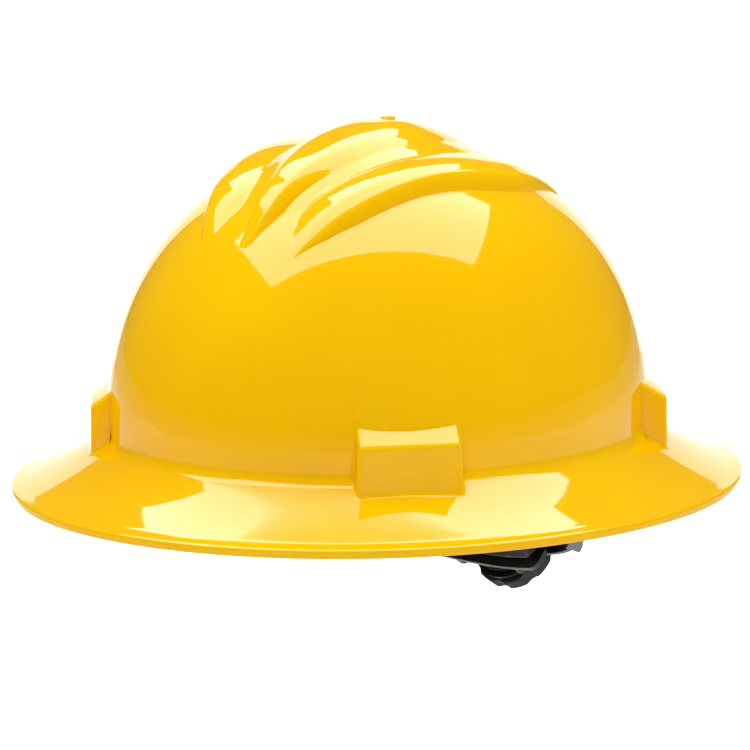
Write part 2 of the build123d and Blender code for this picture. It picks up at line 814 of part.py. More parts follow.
with BuildPart() as ratchet_cover:
    for place in ear_places:
        disc(ear_bottom, ear_top - ear_bottom, ear_radius, place=place)
    clear_half = ear_level + 2 * ear_radius
    ring_piece(plate_low / 2, case_inner, clear_start, clear_end, -clear_half, clear_half, mode=Mode.SUBTRACT)
    ring_piece(channel_outer, case_outer, case_start, case_end, -case_half, case_half)
    for low in (-case_half, channel_half):
        ring_piece(case_inner, case_outer, case_start, case_end, low, low + case_wall)
    disc(channel_outer, seat_face - channel_outer, seat_radius)
    disc(seat_face, detent_height, seat_radius)
    disc(seat_face, detent_height, seat_radius - detent_wall, mode=Mode.SUBTRACT)
    with BuildSketch(radial_frame(90, seat_face)) as teeth:
        with PolarLocations(seat_radius - detent_wall, detent_teeth):
            Circle(detent_tooth_height)
    extrude(teeth.sketch, amount=detent_height)
    shaft_bore = shaft_radius + shaft_clearance
    disc(channel_outer - case_wall, detent_height + 2 * case_wall, shaft_bore, mode=Mode.SUBTRACT)
    for place in ear_places:
        disc(ear_bottom, ear_top - ear_bottom, screw_bore, mode=Mode.SUBTRACT, place=place)
save(ratchet_cover, "ratchet_cover")


def cradle_outline(inset, top):
    """Outline of the nape cradle in the plane square to the knob's axis."""
    with BuildSketch(radial_frame(90, plate_low / 2)) as outline:
        with BuildLine():
            Polyline(
                (-cradle_half_width + inset, top),
                (cradle_half_width - inset, top),
                (cradle_bottom_half_width - inset, -cradle_drop + inset),
                (-cradle_bottom_half_width + inset, -cradle_drop + inset),
                close=True,
            )
        make_face()
        low_corners = outline.vertices().group_by(Axis.Z)[0]
        fillet(low_corners, radius=cradle_corner_radius - inset)
    return outline.sketch


with BuildPart() as ratchet_back_plate:
    extrude(cradle_outline(0, cradle_rise), amount=case_outer)
    ring_piece(
        plate_low, plate_high, clear_start, clear_end, -2 * cradle_drop, 2 * cradle_drop, mode=Mode.INTERSECT
    )
    ring_piece(plate_low, plate_high, case_start, case_end, -case_half, case_half)
    for place in ear_places:
        disc(ear_bottom - ear_radius, ear_top - ear_bottom, ear_radius, place=place)
    for inner, outer in ((plate_high, 2 * case_outer), (plate_low / 2, plate_low)):
        ring_piece(
            inner, outer, clear_start, clear_end, -2 * cradle_drop, 2 * cradle_drop, mode=Mode.SUBTRACT
        )
    journal_bore = inner_journal_radius + shaft_clearance
    disc(plate_low - case_wall, 2 * case_outer - plate_low, journal_bore, mode=Mode.SUBTRACT)
    for place in ear_places:
        disc(ear_bottom - case_wall, ear_depth * 3, screw_bore, mode=Mode.SUBTRACT, place=place)
save(ratchet_back_plate, "ratchet_back_plate")

pad_outer = plate_low - strap_clearance
with BuildPart() as nape_pad:
    extrude(cradle_outline(nape_pad_inset, case_half - nape_pad_inset), amount=case_outer)
    ring_piece(
        pad_outer - nape_pad_thickness,
        pad_outer,
        clear_start,
        clear_end,
        -2 * cradle_drop,
        2 * cradle_drop,
        mode=Mode.INTERSECT,
    )
    inner_face = nape_pad.faces().sort_by(Axis(nape.origin, nape.y_dir))[0]
    fillet(inner_face.edges(), radius=nape_pad_round)
save(nape_pad, "nape_pad")

with BuildPart() as case_screws:
    for place in ear_places:
        disc(ear_top, case_screw_head_height, case_screw_head_radius, place=place)
        disc(ear_bottom, ear_top - ear_bottom + case_screw_head_height / 2, case_screw_radius, place=place)
save(case_screws, "case_screws")

# Pinion: an involute pinion through the windows of both rack straps, with its journals and hexagon
pinion_length = layer + rack_thickness
hex_start = seat_face + fit_gap / 2
knob_face = seat_face + detent_height + fit_gap
hex_end = knob_face + knob_height / 2
base_radius = pitch_radius * math.cos(math.radians(pressure_angle))


def involute(angle):
    return math.tan(angle) - angle


def tooth_half_angle(radius):
    """Half of a pinion tooth's width at a radius, as an angle in radians."""
    swing = math.acos(min(1.0, base_radius / radius))
    pitch_half = (pitch / 2 - gear_backlash / 2) / (2 * pitch_radius)
    return pitch_half + involute(math.radians(pressure_angle)) - involute(swing)


flank_shares = (0.0, 0.35, 0.7, 1.0)
pinion_points = []
for tooth in range(pinion_teeth):
    middle = math.pi / 2 + tooth * 2 * math.pi / pinion_teeth
    radii = [root_radius] + [base_radius + share * (tip_radius - base_radius) for share in flank_shares]
    for radius in radii:
        turn = middle - tooth_half_angle(max(radius, base_radius))
        pinion_points.append((radius * math.cos(turn), radius * math.sin(turn)))
    for radius in reversed(radii):
        turn = middle + tooth_half_angle(max(radius, base_radius))
        pinion_points.append((radius * math.cos(turn), radius * math.sin(turn)))

with BuildPart() as pinion:
    with BuildSketch(radial_frame(90, rack_start)) as pinion_face:
        with BuildLine():
            Polyline(*pinion_points, close=True)
        make_face()
    extrude(pinion_face.sketch, amount=pinion_length)
    disc(plate_low + fit_gap, rack_start - plate_low - fit_gap, inner_journal_radius)
    disc(rack_start + pinion_length, hex_start - rack_start - pinion_length, shaft_radius)
    with BuildSketch(radial_frame(90, hex_start)) as hexagon:
        RegularPolygon(shaft_radius, 6)
    extrude(hexagon.sketch, amount=hex_end - hex_start)
    disc(hex_end - knob_screw_length, knob_screw_length, knob_screw_radius + shaft_clearance, mode=Mode.SUBTRACT)
save(pinion, "pinion")

pawl_face = seat_face + fit_gap
pawl_tip_reach = seat_radius - detent_wall - detent_tooth_height - fit_gap - pawl_tip_radius
with BuildPart() as pawl_disc:
    with BuildSketch(radial_frame(90, pawl_face)) as disc_face:
        Circle(pawl_hub_radius)
        with PolarLocations(0, pawl_count):
            with Locations((pawl_tip_reach / 2, 0)):
                Rectangle(pawl_tip_reach, pawl_arm_width)
            with Locations((pawl_tip_reach, 0)):
                Circle(pawl_tip_radius)
        for spoke in range(pawl_count):
            start = spoke * 360 / pawl_count
            with BuildLine():
                inside = CenterArc((0, 0), pawl_tip_reach - pawl_arm_width / 2, start, 180 / pawl_count)
                outside = CenterArc((0, 0), pawl_tip_reach + pawl_arm_width / 2, start, 180 / pawl_count)
                Line(inside @ 0, outside @ 0)
                Line(inside @ 1, outside @ 1)
            make_face()
        RegularPolygon(shaft_radius + hex_clearance, 6, mode=Mode.SUBTRACT)
    extrude(disc_face.sketch, amount=pawl_disc_thickness)
save(pawl_disc, "pawl_disc")

skirt_inner = seat_radius + 2 * fit_gap
screw_seat = hex_end + fit_gap + knob_screw_head_height
with BuildPart() as knob:
    disc(knob_face, knob_height, knob_core_radius)
    crown_edge = knob.edges().sort_by(Axis(nape.origin, nape.y_dir))[-1]
    fillet(crown_edge, radius=knob_round)
    disc(knob_face - knob_skirt_depth, knob_skirt_depth, skirt_inner + knob_skirt_wall)
    disc(knob_face - knob_skirt_depth, knob_skirt_depth, skirt_inner, mode=Mode.SUBTRACT)
    with BuildSketch(radial_frame(90, knob_face)) as hexagon:
        RegularPolygon(shaft_radius + hex_clearance, 6)
    extrude(hexagon.sketch, amount=hex_end - knob_face + fit_gap, mode=Mode.SUBTRACT)
    disc(knob_face, knob_height, knob_screw_radius + shaft_clearance, mode=Mode.SUBTRACT)
    disc(screw_seat, knob_height, knob_screw_head_radius + fit_gap, mode=Mode.SUBTRACT)
save(knob, "knob")

grip_start = knob_face + fit_gap
with BuildPart() as knob_grip:
    disc(grip_start, grip_height, knob_radius)
    fillet(knob_grip.edges().filter_by(GeomType.CIRCLE), radius=knob_round / 2)
    disc(grip_start, grip_height, knob_core_radius + grip_clearance, mode=Mode.SUBTRACT)
    with BuildSketch(radial_frame(90, grip_start)) as scallops:
        with PolarLocations(knob_radius + grip_scallop_radius - grip_scallop_depth, grip_scallops):
            Circle(grip_scallop_radius)
    extrude(scallops.sketch, amount=grip_height, mode=Mode.SUBTRACT)
save(knob_grip, "knob_grip")

with BuildPart() as knob_screw:
    disc(screw_seat, knob_screw_head_height, knob_screw_head_radius)
    shank_start = hex_end - knob_screw_length + fit_gap
    disc(shank_start, screw_seat - shank_start + knob_screw_head_height / 2, knob_screw_radius)
    with BuildSketch(radial_frame(90, screw_seat + knob_screw_head_height / 2)) as cross:
        Rectangle(knob_screw_head_radius, knob_screw_radius / 2)
        Rectangle(knob_screw_radius / 2, knob_screw_head_radius)
    extrude(cross.sketch, amount=knob_screw_head_height, mode=Mode.SUBTRACT)
save(knob_screw, "knob_screw")
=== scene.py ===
import bpy
import bmesh
import json
import math
import numpy as np
from mathutils import Matrix, Vector


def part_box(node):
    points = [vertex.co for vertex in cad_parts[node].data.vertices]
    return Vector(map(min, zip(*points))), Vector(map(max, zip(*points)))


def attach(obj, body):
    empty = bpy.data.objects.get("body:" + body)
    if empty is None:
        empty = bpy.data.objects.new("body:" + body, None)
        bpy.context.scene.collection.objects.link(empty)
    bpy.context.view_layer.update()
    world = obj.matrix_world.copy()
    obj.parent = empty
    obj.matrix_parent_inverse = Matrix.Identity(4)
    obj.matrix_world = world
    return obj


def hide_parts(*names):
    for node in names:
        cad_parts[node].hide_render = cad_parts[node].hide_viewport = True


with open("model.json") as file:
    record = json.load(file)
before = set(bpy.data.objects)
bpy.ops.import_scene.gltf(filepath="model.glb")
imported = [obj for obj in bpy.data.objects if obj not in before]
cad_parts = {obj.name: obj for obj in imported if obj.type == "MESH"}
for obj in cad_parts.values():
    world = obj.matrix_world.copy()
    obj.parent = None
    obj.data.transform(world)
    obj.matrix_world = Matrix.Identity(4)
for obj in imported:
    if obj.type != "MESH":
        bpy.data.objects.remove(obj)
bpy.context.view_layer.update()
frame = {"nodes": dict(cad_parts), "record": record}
nodes = frame["nodes"]
MM = 0.001


# Colour and node helpers

def linear(code):
    """Linear colour of an sRGB hex value."""
    shares = [int(code[i:i + 2], 16) / 255 for i in (1, 3, 5)]
    return [s / 12.92 if s <= 0.04045 else ((s + 0.055) / 1.055) ** 2.4 for s in shares] + [1.0]


def add(tree, kind, inputs=None, **settings):
    """One node of a tree, with its settings, and its inputs set or linked."""
    made = tree.nodes.new(kind)
    for key, value in settings.items():
        setattr(made, key, value)
    for key, value in (inputs or {}).items():
        if isinstance(value, bpy.types.NodeSocket):
            tree.links.new(value, made.inputs[key])
        else:
            made.inputs[key].default_value = value
    return made


def new_material(name):
    """A material and its empty tree."""
    material = bpy.data.materials.new(name)
    material.use_nodes = True
    material.node_tree.nodes.clear()
    return material, material.node_tree


def surface(tree, inputs):
    """Ends a tree with its one surface shader, whose inputs are set or linked."""
    shader = add(tree, "ShaderNodeBsdfPrincipled", inputs)
    add(tree, "ShaderNodeOutputMaterial", {"Surface": shader.outputs["BSDF"]})


def remap(tree, source, low, high, start=0.0, end=1.0):
    """A pattern's value, with the run from start to end brought to the run from low to high."""
    inputs = {"Value": source, "From Min": start, "From Max": end, "To Min": low, "To Max": high}
    return add(tree, "ShaderNodeMapRange", inputs).outputs["Result"]


def tint(tree, source, low, high, start=0.3, end=0.7):
    """A colour between two hex colours, driven by a pattern's value."""
    inputs = {"Factor": remap(tree, source, 0.0, 1.0, start, end), "A": linear(low), "B": linear(high)}
    return add(tree, "ShaderNodeMix", inputs, data_type="RGBA").outputs["Result"]


def noise(tree, place, grain_mm, detail=2.0):
    """Noise whose grains are about so many millimetres wide."""
    inputs = {"Vector": place, "Scale": 1000 / grain_mm, "Detail": detail}
    return add(tree, "ShaderNodeTexNoise", inputs).outputs["Fac"]


def object_place(tree):
    """A point's place on its own object, in metres."""
    return add(tree, "ShaderNodeTexCoord").outputs["Object"]


def relief(tree, height, depth_mm, strength=1.0):
    """Normal bent by a pattern of a real depth in millimetres."""
    inputs = {"Height": height, "Strength": strength, "Distance": depth_mm * MM}
    return add(tree, "ShaderNodeBump", inputs).outputs["Normal"]


# Materials

def glossy_hdpe():
    """Injection moulded high density polyethylene, polished mould: clear reflections, faint orange peel."""
    material, tree = new_material("glossy_moulded_hdpe")
    place = object_place(tree)
    surface(tree, {
        "Base Color": tint(tree, noise(tree, place, 60, 1.0), "#F1B800", "#F4BF02"),
        "Roughness": remap(tree, noise(tree, place, 7, 3.0), 0.03, 0.06, 0.35, 0.75),
        "IOR": 1.5,
        "Specular IOR Level": 0.25,
        "Normal": relief(tree, noise(tree, place, 2.4, 1.0), 0.004),
    })
    return material


def satin_hdpe():
    """The same moulding's inner face, left by an unpolished core: finely grained and dull."""
    material, tree = new_material("grained_moulded_hdpe")
    place = object_place(tree)
    surface(tree, {
        "Base Color": tint(tree, noise(tree, place, 45), "#E9AE00", "#EDB604"),
        "Roughness": 0.42,
        "Specular IOR Level": 0.35,
        "Normal": relief(tree, noise(tree, place, 0.8), 0.02),
    })
    return material


def moulded_nylon(name, low, high, roughness, grain_mm):
    """Moulded nylon with a spark eroded grain: a soft sheen broken by fine pits."""
    material, tree = new_material(name)
    place = object_place(tree)
    surface(tree, {
        "Base Color": tint(tree, noise(tree, place, 9), low, high),
        "Roughness": remap(tree, noise(tree, place, 4, 4.0), roughness - 0.08, roughness + 0.08),
        "IOR": 1.53,
        "Specular IOR Level": 0.3,
        "Normal": relief(tree, noise(tree, place, grain_mm, 3.0), 0.03, 0.6),
    })
    return material


def moulded_ldpe():
    """Low density polyethylene strapping: waxy, slightly cloudy, with faint lines where it flowed."""
    material, tree = new_material("moulded_ldpe_strapping")
    place = object_place(tree)
    squeezed = add(tree, "ShaderNodeMapping", {"Vector": place, "Scale": (1.0, 1.0, 9.0)}).outputs["Vector"]
    surface(tree, {
        "Base Color": tint(tree, noise(tree, place, 14), "#111112", "#18181A"),
        "Roughness": 0.36,
        "IOR": 1.51,
        "Specular IOR Level": 0.3,
        "Normal": relief(tree, noise(tree, squeezed, 5), 0.03, 0.5),
    })
    return material


def grip_tpe():
    """Thermoplastic rubber moulded round the knob: dry and matt."""
    material, tree = new_material("overmoulded_tpe")
    place = object_place(tree)
    surface(tree, {
        "Base Color": tint(tree, noise(tree, place, 5), "#0E0E0F", "#141415"),
        "Roughness": 0.68,
        "Normal": relief(tree, noise(tree, place, 0.5), 0.03),
    })
    return material


def black_oxide_steel():
    """Screws blackened in a hot salt bath: dark, with bright metal where a driver has rubbed."""
    material, tree = new_material("black_oxide_steel")
    rubbed = noise(tree, object_place(tree), 1.5, 4.0)
    surface(tree, {
        "Base Color": tint(tree, rubbed, "#2A2A2C", "#5A5A5C", 0.45, 0.8),
        "Metallic": 1.0,
        "Roughness": 0.38,
    })
    return material


def polyester_webbing():
    """Plain woven polyester tape: warp ribs 1.1 mm apart crossed by weft 0.8 mm apart, with a fibre sheen."""
    material, tree = new_material("woven_polyester_webbing")
    place = add(tree, "ShaderNodeUVMap", uv_map="tape").outputs["UV"]
    split = add(tree, "ShaderNodeSeparateXYZ", {"Vector": place}).outputs
    waves = []
    for axis, spacing in (("X", 1.1), ("Y", 0.8)):
        turn = add(tree, "ShaderNodeMath", {0: split[axis], 1: math.pi / spacing}, operation="MULTIPLY")
        waves.append(add(tree, "ShaderNodeMath", {0: turn.outputs[0]}, operation="SINE").outputs[0])
    woven = add(tree, "ShaderNodeMath", dict(enumerate(waves)), operation="MULTIPLY")
    height = add(
        tree, "ShaderNodeMath", {0: woven.outputs[0], 1: 0.5, 2: 0.5}, operation="MULTIPLY_ADD",
    ).outputs[0]
    surface(tree, {
        # The tape's colour is painted light and shade: lighter on the raised weave and darker in its hollows,
        # by the same height as the relief
        "Base Color": tint(tree, height, "#0E0E10", "#2B2B2F", 0.1, 0.9),
        "Roughness": 0.72,
        "Sheen Weight": 0.3,
        "Sheen Roughness": 0.4,
        "Normal": relief(tree, height, 0.22),
    })
    return material


def bonded_thread():
    """Bonded nylon sewing thread: twisted, slightly glossy."""
    material, tree = new_material("bonded_nylon_thread")
    twist = noise(tree, object_place(tree), 0.6)
    surface(tree, {"Base Color": tint(tree, twist, "#3A3A3E", "#55555A"), "Roughness": 0.5})
    return material


def brushed_knit():
    """Brushed knitted cover over foam: loops about 1.2 mm apart, soft edge sheen, no gloss."""
    material, tree = new_material("brushed_knit_on_foam")
    loops = add(
        tree, "ShaderNodeTexVoronoi",
        {"Vector": object_place(tree), "Scale": 1000 / 1.2, "Randomness": 0.35}, feature="SMOOTH_F1",
    ).outputs["Distance"]
    surface(tree, {
        "Base Color": tint(tree, loops, "#242427", "#101012", 0.1, 0.7),
        "Roughness": 0.92,
        "Sheen Weight": 0.45,
        "Sheen Roughness": 0.5,
        "Normal": relief(tree, loops, 0.25, 0.8),
    })
    return material


GLOSSY_SHELL = glossy_hdpe()
INNER_SHELL = satin_hdpe()
BLACK_NYLON = moulded_nylon("grained_black_nylon", "#0B0B0C", "#121213", 0.36, 0.7)
KEY_NYLON = moulded_nylon("grained_grey_nylon", "#232325", "#2C2C2F", 0.45, 0.8)
DARK_STRAP = moulded_ldpe()
GRIP = grip_tpe()
SCREW_STEEL = black_oxide_steel()
WEBBING = polyester_webbing()
THREAD = bonded_thread()
KNIT = brushed_knit()


# Mesh helpers. Points are in millimetres.

def new_piece(name, points, faces, edges=()):
    """A mesh object at the origin."""
    mesh = bpy.data.meshes.new(name)
    mesh.from_pydata([tuple(c * MM for c in p) for p in points], edges, faces)
    mesh.update()
    piece = bpy.data.objects.new(name, mesh)
    bpy.context.scene.collection.objects.link(piece)
    return piece


def plain_mesh(piece):
    """Turns a piece with modifiers into its plain result."""
    bpy.context.view_layer.update()
    done = bpy.data.meshes.new_from_object(piece.evaluated_get(bpy.context.evaluated_depsgraph_get()))
    piece.modifiers.clear()
    piece.data = done
    return piece


def cut_or_join(piece, other, operation):
    """Joins another solid to a piece, or cuts it away, and removes the other."""
    step = piece.modifiers.new(operation, "BOOLEAN")
    step.object = other
    step.operation = operation
    step.solver = "MANIFOLD"
    plain_mesh(piece)
    bpy.data.objects.remove(other)


def shade(piece, angle):
    """Smooth shading, with edges sharper than the angle in degrees kept crisp."""
    mesh = piece.data
    mesh.polygons.foreach_set("use_smooth", np.ones(len(mesh.polygons), bool))
    mesh.set_sharp_from_angle(angle=math.radians(angle))


def face_out(piece):
    """Turns a closed solid's faces outwards."""
    turned = bmesh.new()
    turned.from_mesh(piece.data)
    bmesh.ops.recalc_face_normals(turned, faces=turned.faces)
    turned.to_mesh(piece.data)
    turned.free()


def tube_solid(name, rings):
    """Closed solid through rings of points, with its faces turned outwards."""
    count = len(rings[0])
    faces = []
    for row in range(len(rings) - 1):
        near, far = row * count, (row + 1) * count
        for i in range(count):
            j = (i + 1) % count
            faces.append((near + i, near + j, far + j, far + i))
    faces.append(tuple(reversed(range(count))))
    faces.append(tuple((len(rings) - 1) * count + i for i in range(count)))
    piece = new_piece(name, [p for ring in rings for p in ring], faces)
    face_out(piece)
    return piece


BOX_FACES = [(3, 2, 1, 0), (4, 5, 6, 7)] + [(i, (i + 1) % 4, 4 + (i + 1) % 4, 4 + i) for i in range(4)]


# Shell: the same sizes as the moulding, in millimetres

DOME_X, DOME_Y = 103.6, 116.1  # half width and half length at the dome's foot
CROWN, DOME_FOOT = 137.6, 26.5  # heights
ROUND = 2.17  # power of the dome's section: 2 is an ellipse, and more is fuller
WALL = 2.4


def dome_height(x, y, inset):
    """Height of the smooth dome, or of a smaller one inside it, at a point."""
    share = np.minimum(np.hypot(x / (DOME_X - inset), y / (DOME_Y - inset)), 1.0)
    rise = (1 - share**ROUND) ** (1 / ROUND)
    return DOME_FOOT + (CROWN - inset - DOME_FOOT) * rise


def arc_through(start, middle, end, count):
    """Points on the circle through three points, without the first."""
    (ax, ay), (bx, by), (cx, cy) = start, middle, end
    d = 2 * (ax * (by - cy) + bx * (cy - ay) + cx * (ay - by))
    sa, sb, sc = ax**2 + ay**2, bx**2 + by**2, cx**2 + cy**2
    ux = (sa * (by - cy) + sb * (cy - ay) + sc * (ay - by)) / d
    uy = (sa * (cx - bx) + sb * (ax - cx) + sc * (bx - ax)) / d
    first, last = math.atan2(ay - uy, ax - ux), math.atan2(cy - uy, cx - ux)
    turn = (last - first + math.pi) % (2 * math.pi) - math.pi
    reach = math.hypot(ax - ux, ay - uy)
    angles = [first + turn * i / count for i in range(1, count + 1)]
    return [(ux + reach * math.cos(a), uy + reach * math.sin(a)) for a in angles]


def dome_profile(inset, count):
    """Half section of the dome from the crown down to its foot, evenly spaced."""
    turns = np.linspace(0, math.pi / 2, 2000)
    x = (DOME_X - inset) * np.sin(turns) ** (2 / ROUND)
    z = DOME_FOOT + (CROWN - inset - DOME_FOOT) * np.cos(turns) ** (2 / ROUND)
    run = np.concatenate([[0], np.cumsum(np.hypot(np.diff(x), np.diff(z)))])
    even = np.linspace(0, run[-1], count)
    return list(zip(np.interp(even, run, x), np.interp(even, run, z)))


def lathe(name, profile, columns):
    """Closed solid from a half section that starts and ends on the axis, stretched to the dome's length."""
    turns = np.linspace(0, 2 * math.pi, columns, endpoint=False)
    rows = profile[1:-1]
    points = [(0, 0, profile[0][1])]
    for x, z in rows:
        points += [(x * math.cos(t), x * DOME_Y / DOME_X * math.sin(t), z) for t in turns]
    points.append((0, 0, profile[-1][1]))
    last = len(points) - 1
    faces = []
    for i in range(columns):
        j = (i + 1) % columns
        faces.append((0, 1 + i, 1 + j))
        for row in range(len(rows) - 1):
            a, b = 1 + row * columns, 1 + (row + 1) * columns
            faces.append((a + i, b + i, b + j, a + j))
        end = 1 + (len(rows) - 1) * columns
        faces.append((end + i, last, end + j))
    return new_piece(name, points, faces)


def outer_profile():
    """Dome, fillet, brim, raised lip, rounded rim and the flat underside, as (half width, height)."""
    foot, middle, lip = (106.8, 20.0), (122.6, 10.6), (134.5, 5.0)
    rows = dome_profile(0, 128)
    rows += [(103.6, 25.6), (103.66, 24.4), (103.95, 23.2), (104.5, 22.0), (105.4, 20.9), foot]
    rows += arc_through(foot, middle, lip, 20)
    rows += [(134.75, 4.86), (136.9, 4.3), (138.7, 3.78), (139.2, 3.62), (139.6, 3.3), (139.85, 2.85)]
    rows += [(139.9, 2.4), (139.9, 1.0), (139.8, 0.5), (139.5, 0.15), (139.1, 0.0), (70, 0.0), (0, 0.0)]
    return rows


def inner_profile():
    """The cavity under the shell, a wall's thickness inside it."""
    foot, middle, lip = (105.6, 17.6), (121.8, 8.2), (134.5, 2.6)
    rows = dome_profile(WALL, 60)
    rows += [(101.2, 24.0), (101.5, 21.6), (102.6, 19.6), (104.0, 18.4), foot]
    rows += arc_through(foot, middle, lip, 12)
    rows += [(136.2, 1.6), (136.7, 0.8), (136.9, 0.0), (136.9, -6.0), (70, -6.0), (0, -6.0)]
    return rows


# Crown ridges. Each row is a station along the hat: its place, the inner foot, the crest's two edges and
# the outer foot as places across the hat, and the crest's height over the smooth dome.

def even_ridge(rows):
    """Rows of a ridge with two equal sides, from rows of (place, foot's half width, crest's, height)."""
    return [(y, -foot, -crest, crest, foot, rise) for y, foot, crest, rise in rows]


CREST = even_ridge((
    (-92, 0.9, 0.2, -2.4), (-87, 1.9, 0.5, -0.8), (-82, 3.4, 1.2, 1.3), (-77, 4.8, 2.2, 3.3),
    (-71, 6.4, 3.2, 5.2), (-64, 8.4, 3.8, 6.6), (-57, 11.6, 4.2, 7.2), (-50, 15.4, 4.4, 7.6),
    (-41, 19.6, 4.6, 7.9), (-30, 23.0, 4.8, 8.4), (-16, 25.0, 5.0, 8.9), (0, 25.4, 5.0, 9.2),
    (9, 24.4, 4.8, 8.6), (16, 23.0, 4.6, 7.5), (25, 20.6, 4.2, 6.2), (34, 17.6, 3.8, 4.8),
    (44, 14.4, 3.2, 3.3), (54, 11.2, 2.4, 1.8), (63, 8.0, 1.6, 0.3), (71, 5.0, 1.0, -1.4),
))
FLANK = even_ridge((
    (-78, 20, 2, -2.4), (-70, 24, 2, -0.4), (-62, 27, 2, 1.6), (-53, 30, 2, 3.4), (-42, 33, 2, 5.0),
    (-28, 35, 2, 5.8), (-12, 36, 2, 5.9), (4, 35, 2, 5.2), (18, 33, 2, 4.0), (32, 29, 2, 2.4),
    (46, 24, 2, 0.9), (60, 18, 2, -1.0),
))
SIDE_RIDGE = (
    (-92, 18.6, 19.4, 19.8, 20.2, -2.8), (-86, 18.4, 21.4, 22.0, 22.6, -1.0),
    (-80, 17.6, 23.4, 24.6, 26.0, 0.9), (-73, 15.8, 26.0, 28.4, 30.8, 3.2),
    (-67, 13.8, 28.2, 31.2, 34.2, 4.9), (-61, 12.2, 30.6, 34.2, 37.3, 5.9),
    (-54, 11.8, 33.0, 36.8, 39.8, 6.3), (-46, 12.6, 35.4, 39.2, 42.3, 6.5),
    (-34, 15.0, 38.8, 42.4, 45.4, 6.5), (-22, 17.6, 42.0, 45.6, 48.7, 6.5),
    (-10, 20.4, 45.2, 49.0, 52.2, 6.3), (3, 23.0, 48.0, 52.2, 55.6, 6.2), (15, 25.0, 49.0, 53.4, 56.8, 5.8),
    (26, 26.6, 47.8, 52.6, 56.0, 5.2), (36, 28.0, 45.4, 50.2, 53.6, 4.2), (46, 29.4, 42.8, 47.2, 50.2, 2.9),
    (56, 30.6, 40.4, 44.4, 46.6, 1.7), (65, 31.8, 38.6, 41.4, 43.2, 0.4), (74, 33.4, 37.2, 38.8, 40.0, -1.4),
)
# How each side of a ridge falls: its run, its bend at the crest, and how deep its foot is sunk in the dome
LOW_SLOPE = (1.7, 1.1, 0.4)
CREST_SLOPE = (1.8, 1.2, 0.4)
SHALLOW_SLOPE = (1.25, 1.0, 0.4)
STEEP_WALL = (2.8, 2.6, 3.0)
RIDGES = (
    (1, FLANK, LOW_SLOPE, LOW_SLOPE),
    (1, CREST, CREST_SLOPE, CREST_SLOPE),
    (1, SIDE_RIDGE, SHALLOW_SLOPE, STEEP_WALL),
    (-1, SIDE_RIDGE, SHALLOW_SLOPE, STEEP_WALL),
)
RIDGE_STEPS = 170
RIDGE_LEAST_WIDTH = 1.2
RIDGE_DEPTH = 5.0  # how far a ridge's solid reaches down into the dome


def smooth_rows(table):
    """Rows of a table at even steps along the hat, on smooth curves through its own rows."""
    table = np.array(table, float)
    stations = np.linspace(table[0, 0], table[-1, 0], RIDGE_STEPS)
    where = np.clip(np.searchsorted(table[:, 0], stations) - 1, 0, len(table) - 2)
    span = table[where + 1, 0] - table[where, 0]
    t = (stations - table[where, 0]) / span
    columns = [stations]
    for column in range(1, table.shape[1]):
        slopes = np.gradient(table[:, column], table[:, 0])
        columns.append(
            (2 * t**3 - 3 * t**2 + 1) * table[where, column]
            + (t**3 - 2 * t**2 + t) * span * slopes[where]
            + (3 * t**2 - 2 * t**3) * table[where + 1, column]
            + (t**3 - t**2) * span * slopes[where + 1]
        )
    return np.array(columns).T


def ridge_section(row, inner_slope, outer_slope, shrink):
    """Section of a ridge, or with a shrink of its hollow, as places across and lifts over the dome."""
    foot_in, crest_in, crest_out, foot_out, rise = row
    foot_in, foot_out = foot_in + shrink, foot_out - shrink
    if foot_out - foot_in < RIDGE_LEAST_WIDTH:
        middle = (foot_in + foot_out) / 2
        foot_in, foot_out = middle - RIDGE_LEAST_WIDTH / 2, middle + RIDGE_LEAST_WIDTH / 2
    crest_in = min(max(crest_in, foot_in + 0.2), foot_out - 0.4)
    crest_out = min(max(crest_out - shrink * 0.4, crest_in + 0.1), foot_out - 0.1)
    turns = np.linspace(0, math.pi / 2, 17)

    def side(crest, foot, slope):
        run, bend, root = slope
        places = [crest + (foot - crest) * math.cos(turn) ** (2 / run) for turn in turns]
        lifts = [-root + (rise + root) * math.sin(turn) ** (2 / bend) for turn in turns]
        return list(zip(places, lifts))

    flat = [(crest_in + (crest_out - crest_in) * share, rise) for share in (0.25, 0.5, 0.75)]
    section = side(crest_in, foot_in, inner_slope) + flat + side(crest_out, foot_out, outer_slope)[::-1]
    return np.array(section).T


def ridge_solid(side, table, inner_slope, outer_slope, shrink):
    """Ridge along the hat, laid on the dome."""
    rings = []
    for y, *row in smooth_rows(table):
        places, lifts = ridge_section(row, inner_slope, outer_slope, shrink)
        x = side * places
        base = dome_height(x, y, shrink)
        top, under = base + lifts - shrink * 0.15, base - RIDGE_DEPTH
        over = [(a, y, b) for a, b in zip(x, top)]
        rings.append(over + [(a, y, b) for a, b in zip(x[::-1], under[::-1])])
    return tube_solid("ridge", rings)


# Housings of the four keys, at the dome's foot
FRONT_TURN, REAR_TURN = 44.4, 49.0  # degrees from the middle of the front and of the back
HOUSING_FACE = 6.2  # way out of the outer face, at its middle
HOUSING_FACE_TURN = 0.06  # how the face turns with the dome
HOUSING_LOW_HALF, HOUSING_HIGH_HALF = 21.4, 20.2
# A housing's root inside the dome: its way out, and the share of the foot's width there
HOUSING_ROOT, HOUSING_ROOT_SHARE = -9.0, 0.965
HOUSING_FOOT, HOUSING_EDGE, HOUSING_MEETS_DOME = 14.0, 37.0, 43.2  # heights
HOUSING_ROUND = 1.5


def housing_frame(side, back):
    """Origin, across and outward directions of a key housing at the dome's foot."""
    def place(s, b):
        angle = math.radians(REAR_TURN if b else FRONT_TURN)
        x, y = s * math.sin(angle), math.cos(angle) * (1 if b else -1)
        reach = 1 / math.hypot(x / DOME_X, y / DOME_Y)
        return Vector((x * reach, y * reach, 0))
    here, there = place(side, back), place(-side, not back)
    outward = (here - there).normalized()
    return here, Vector((-outward.y, outward.x, 0)), outward


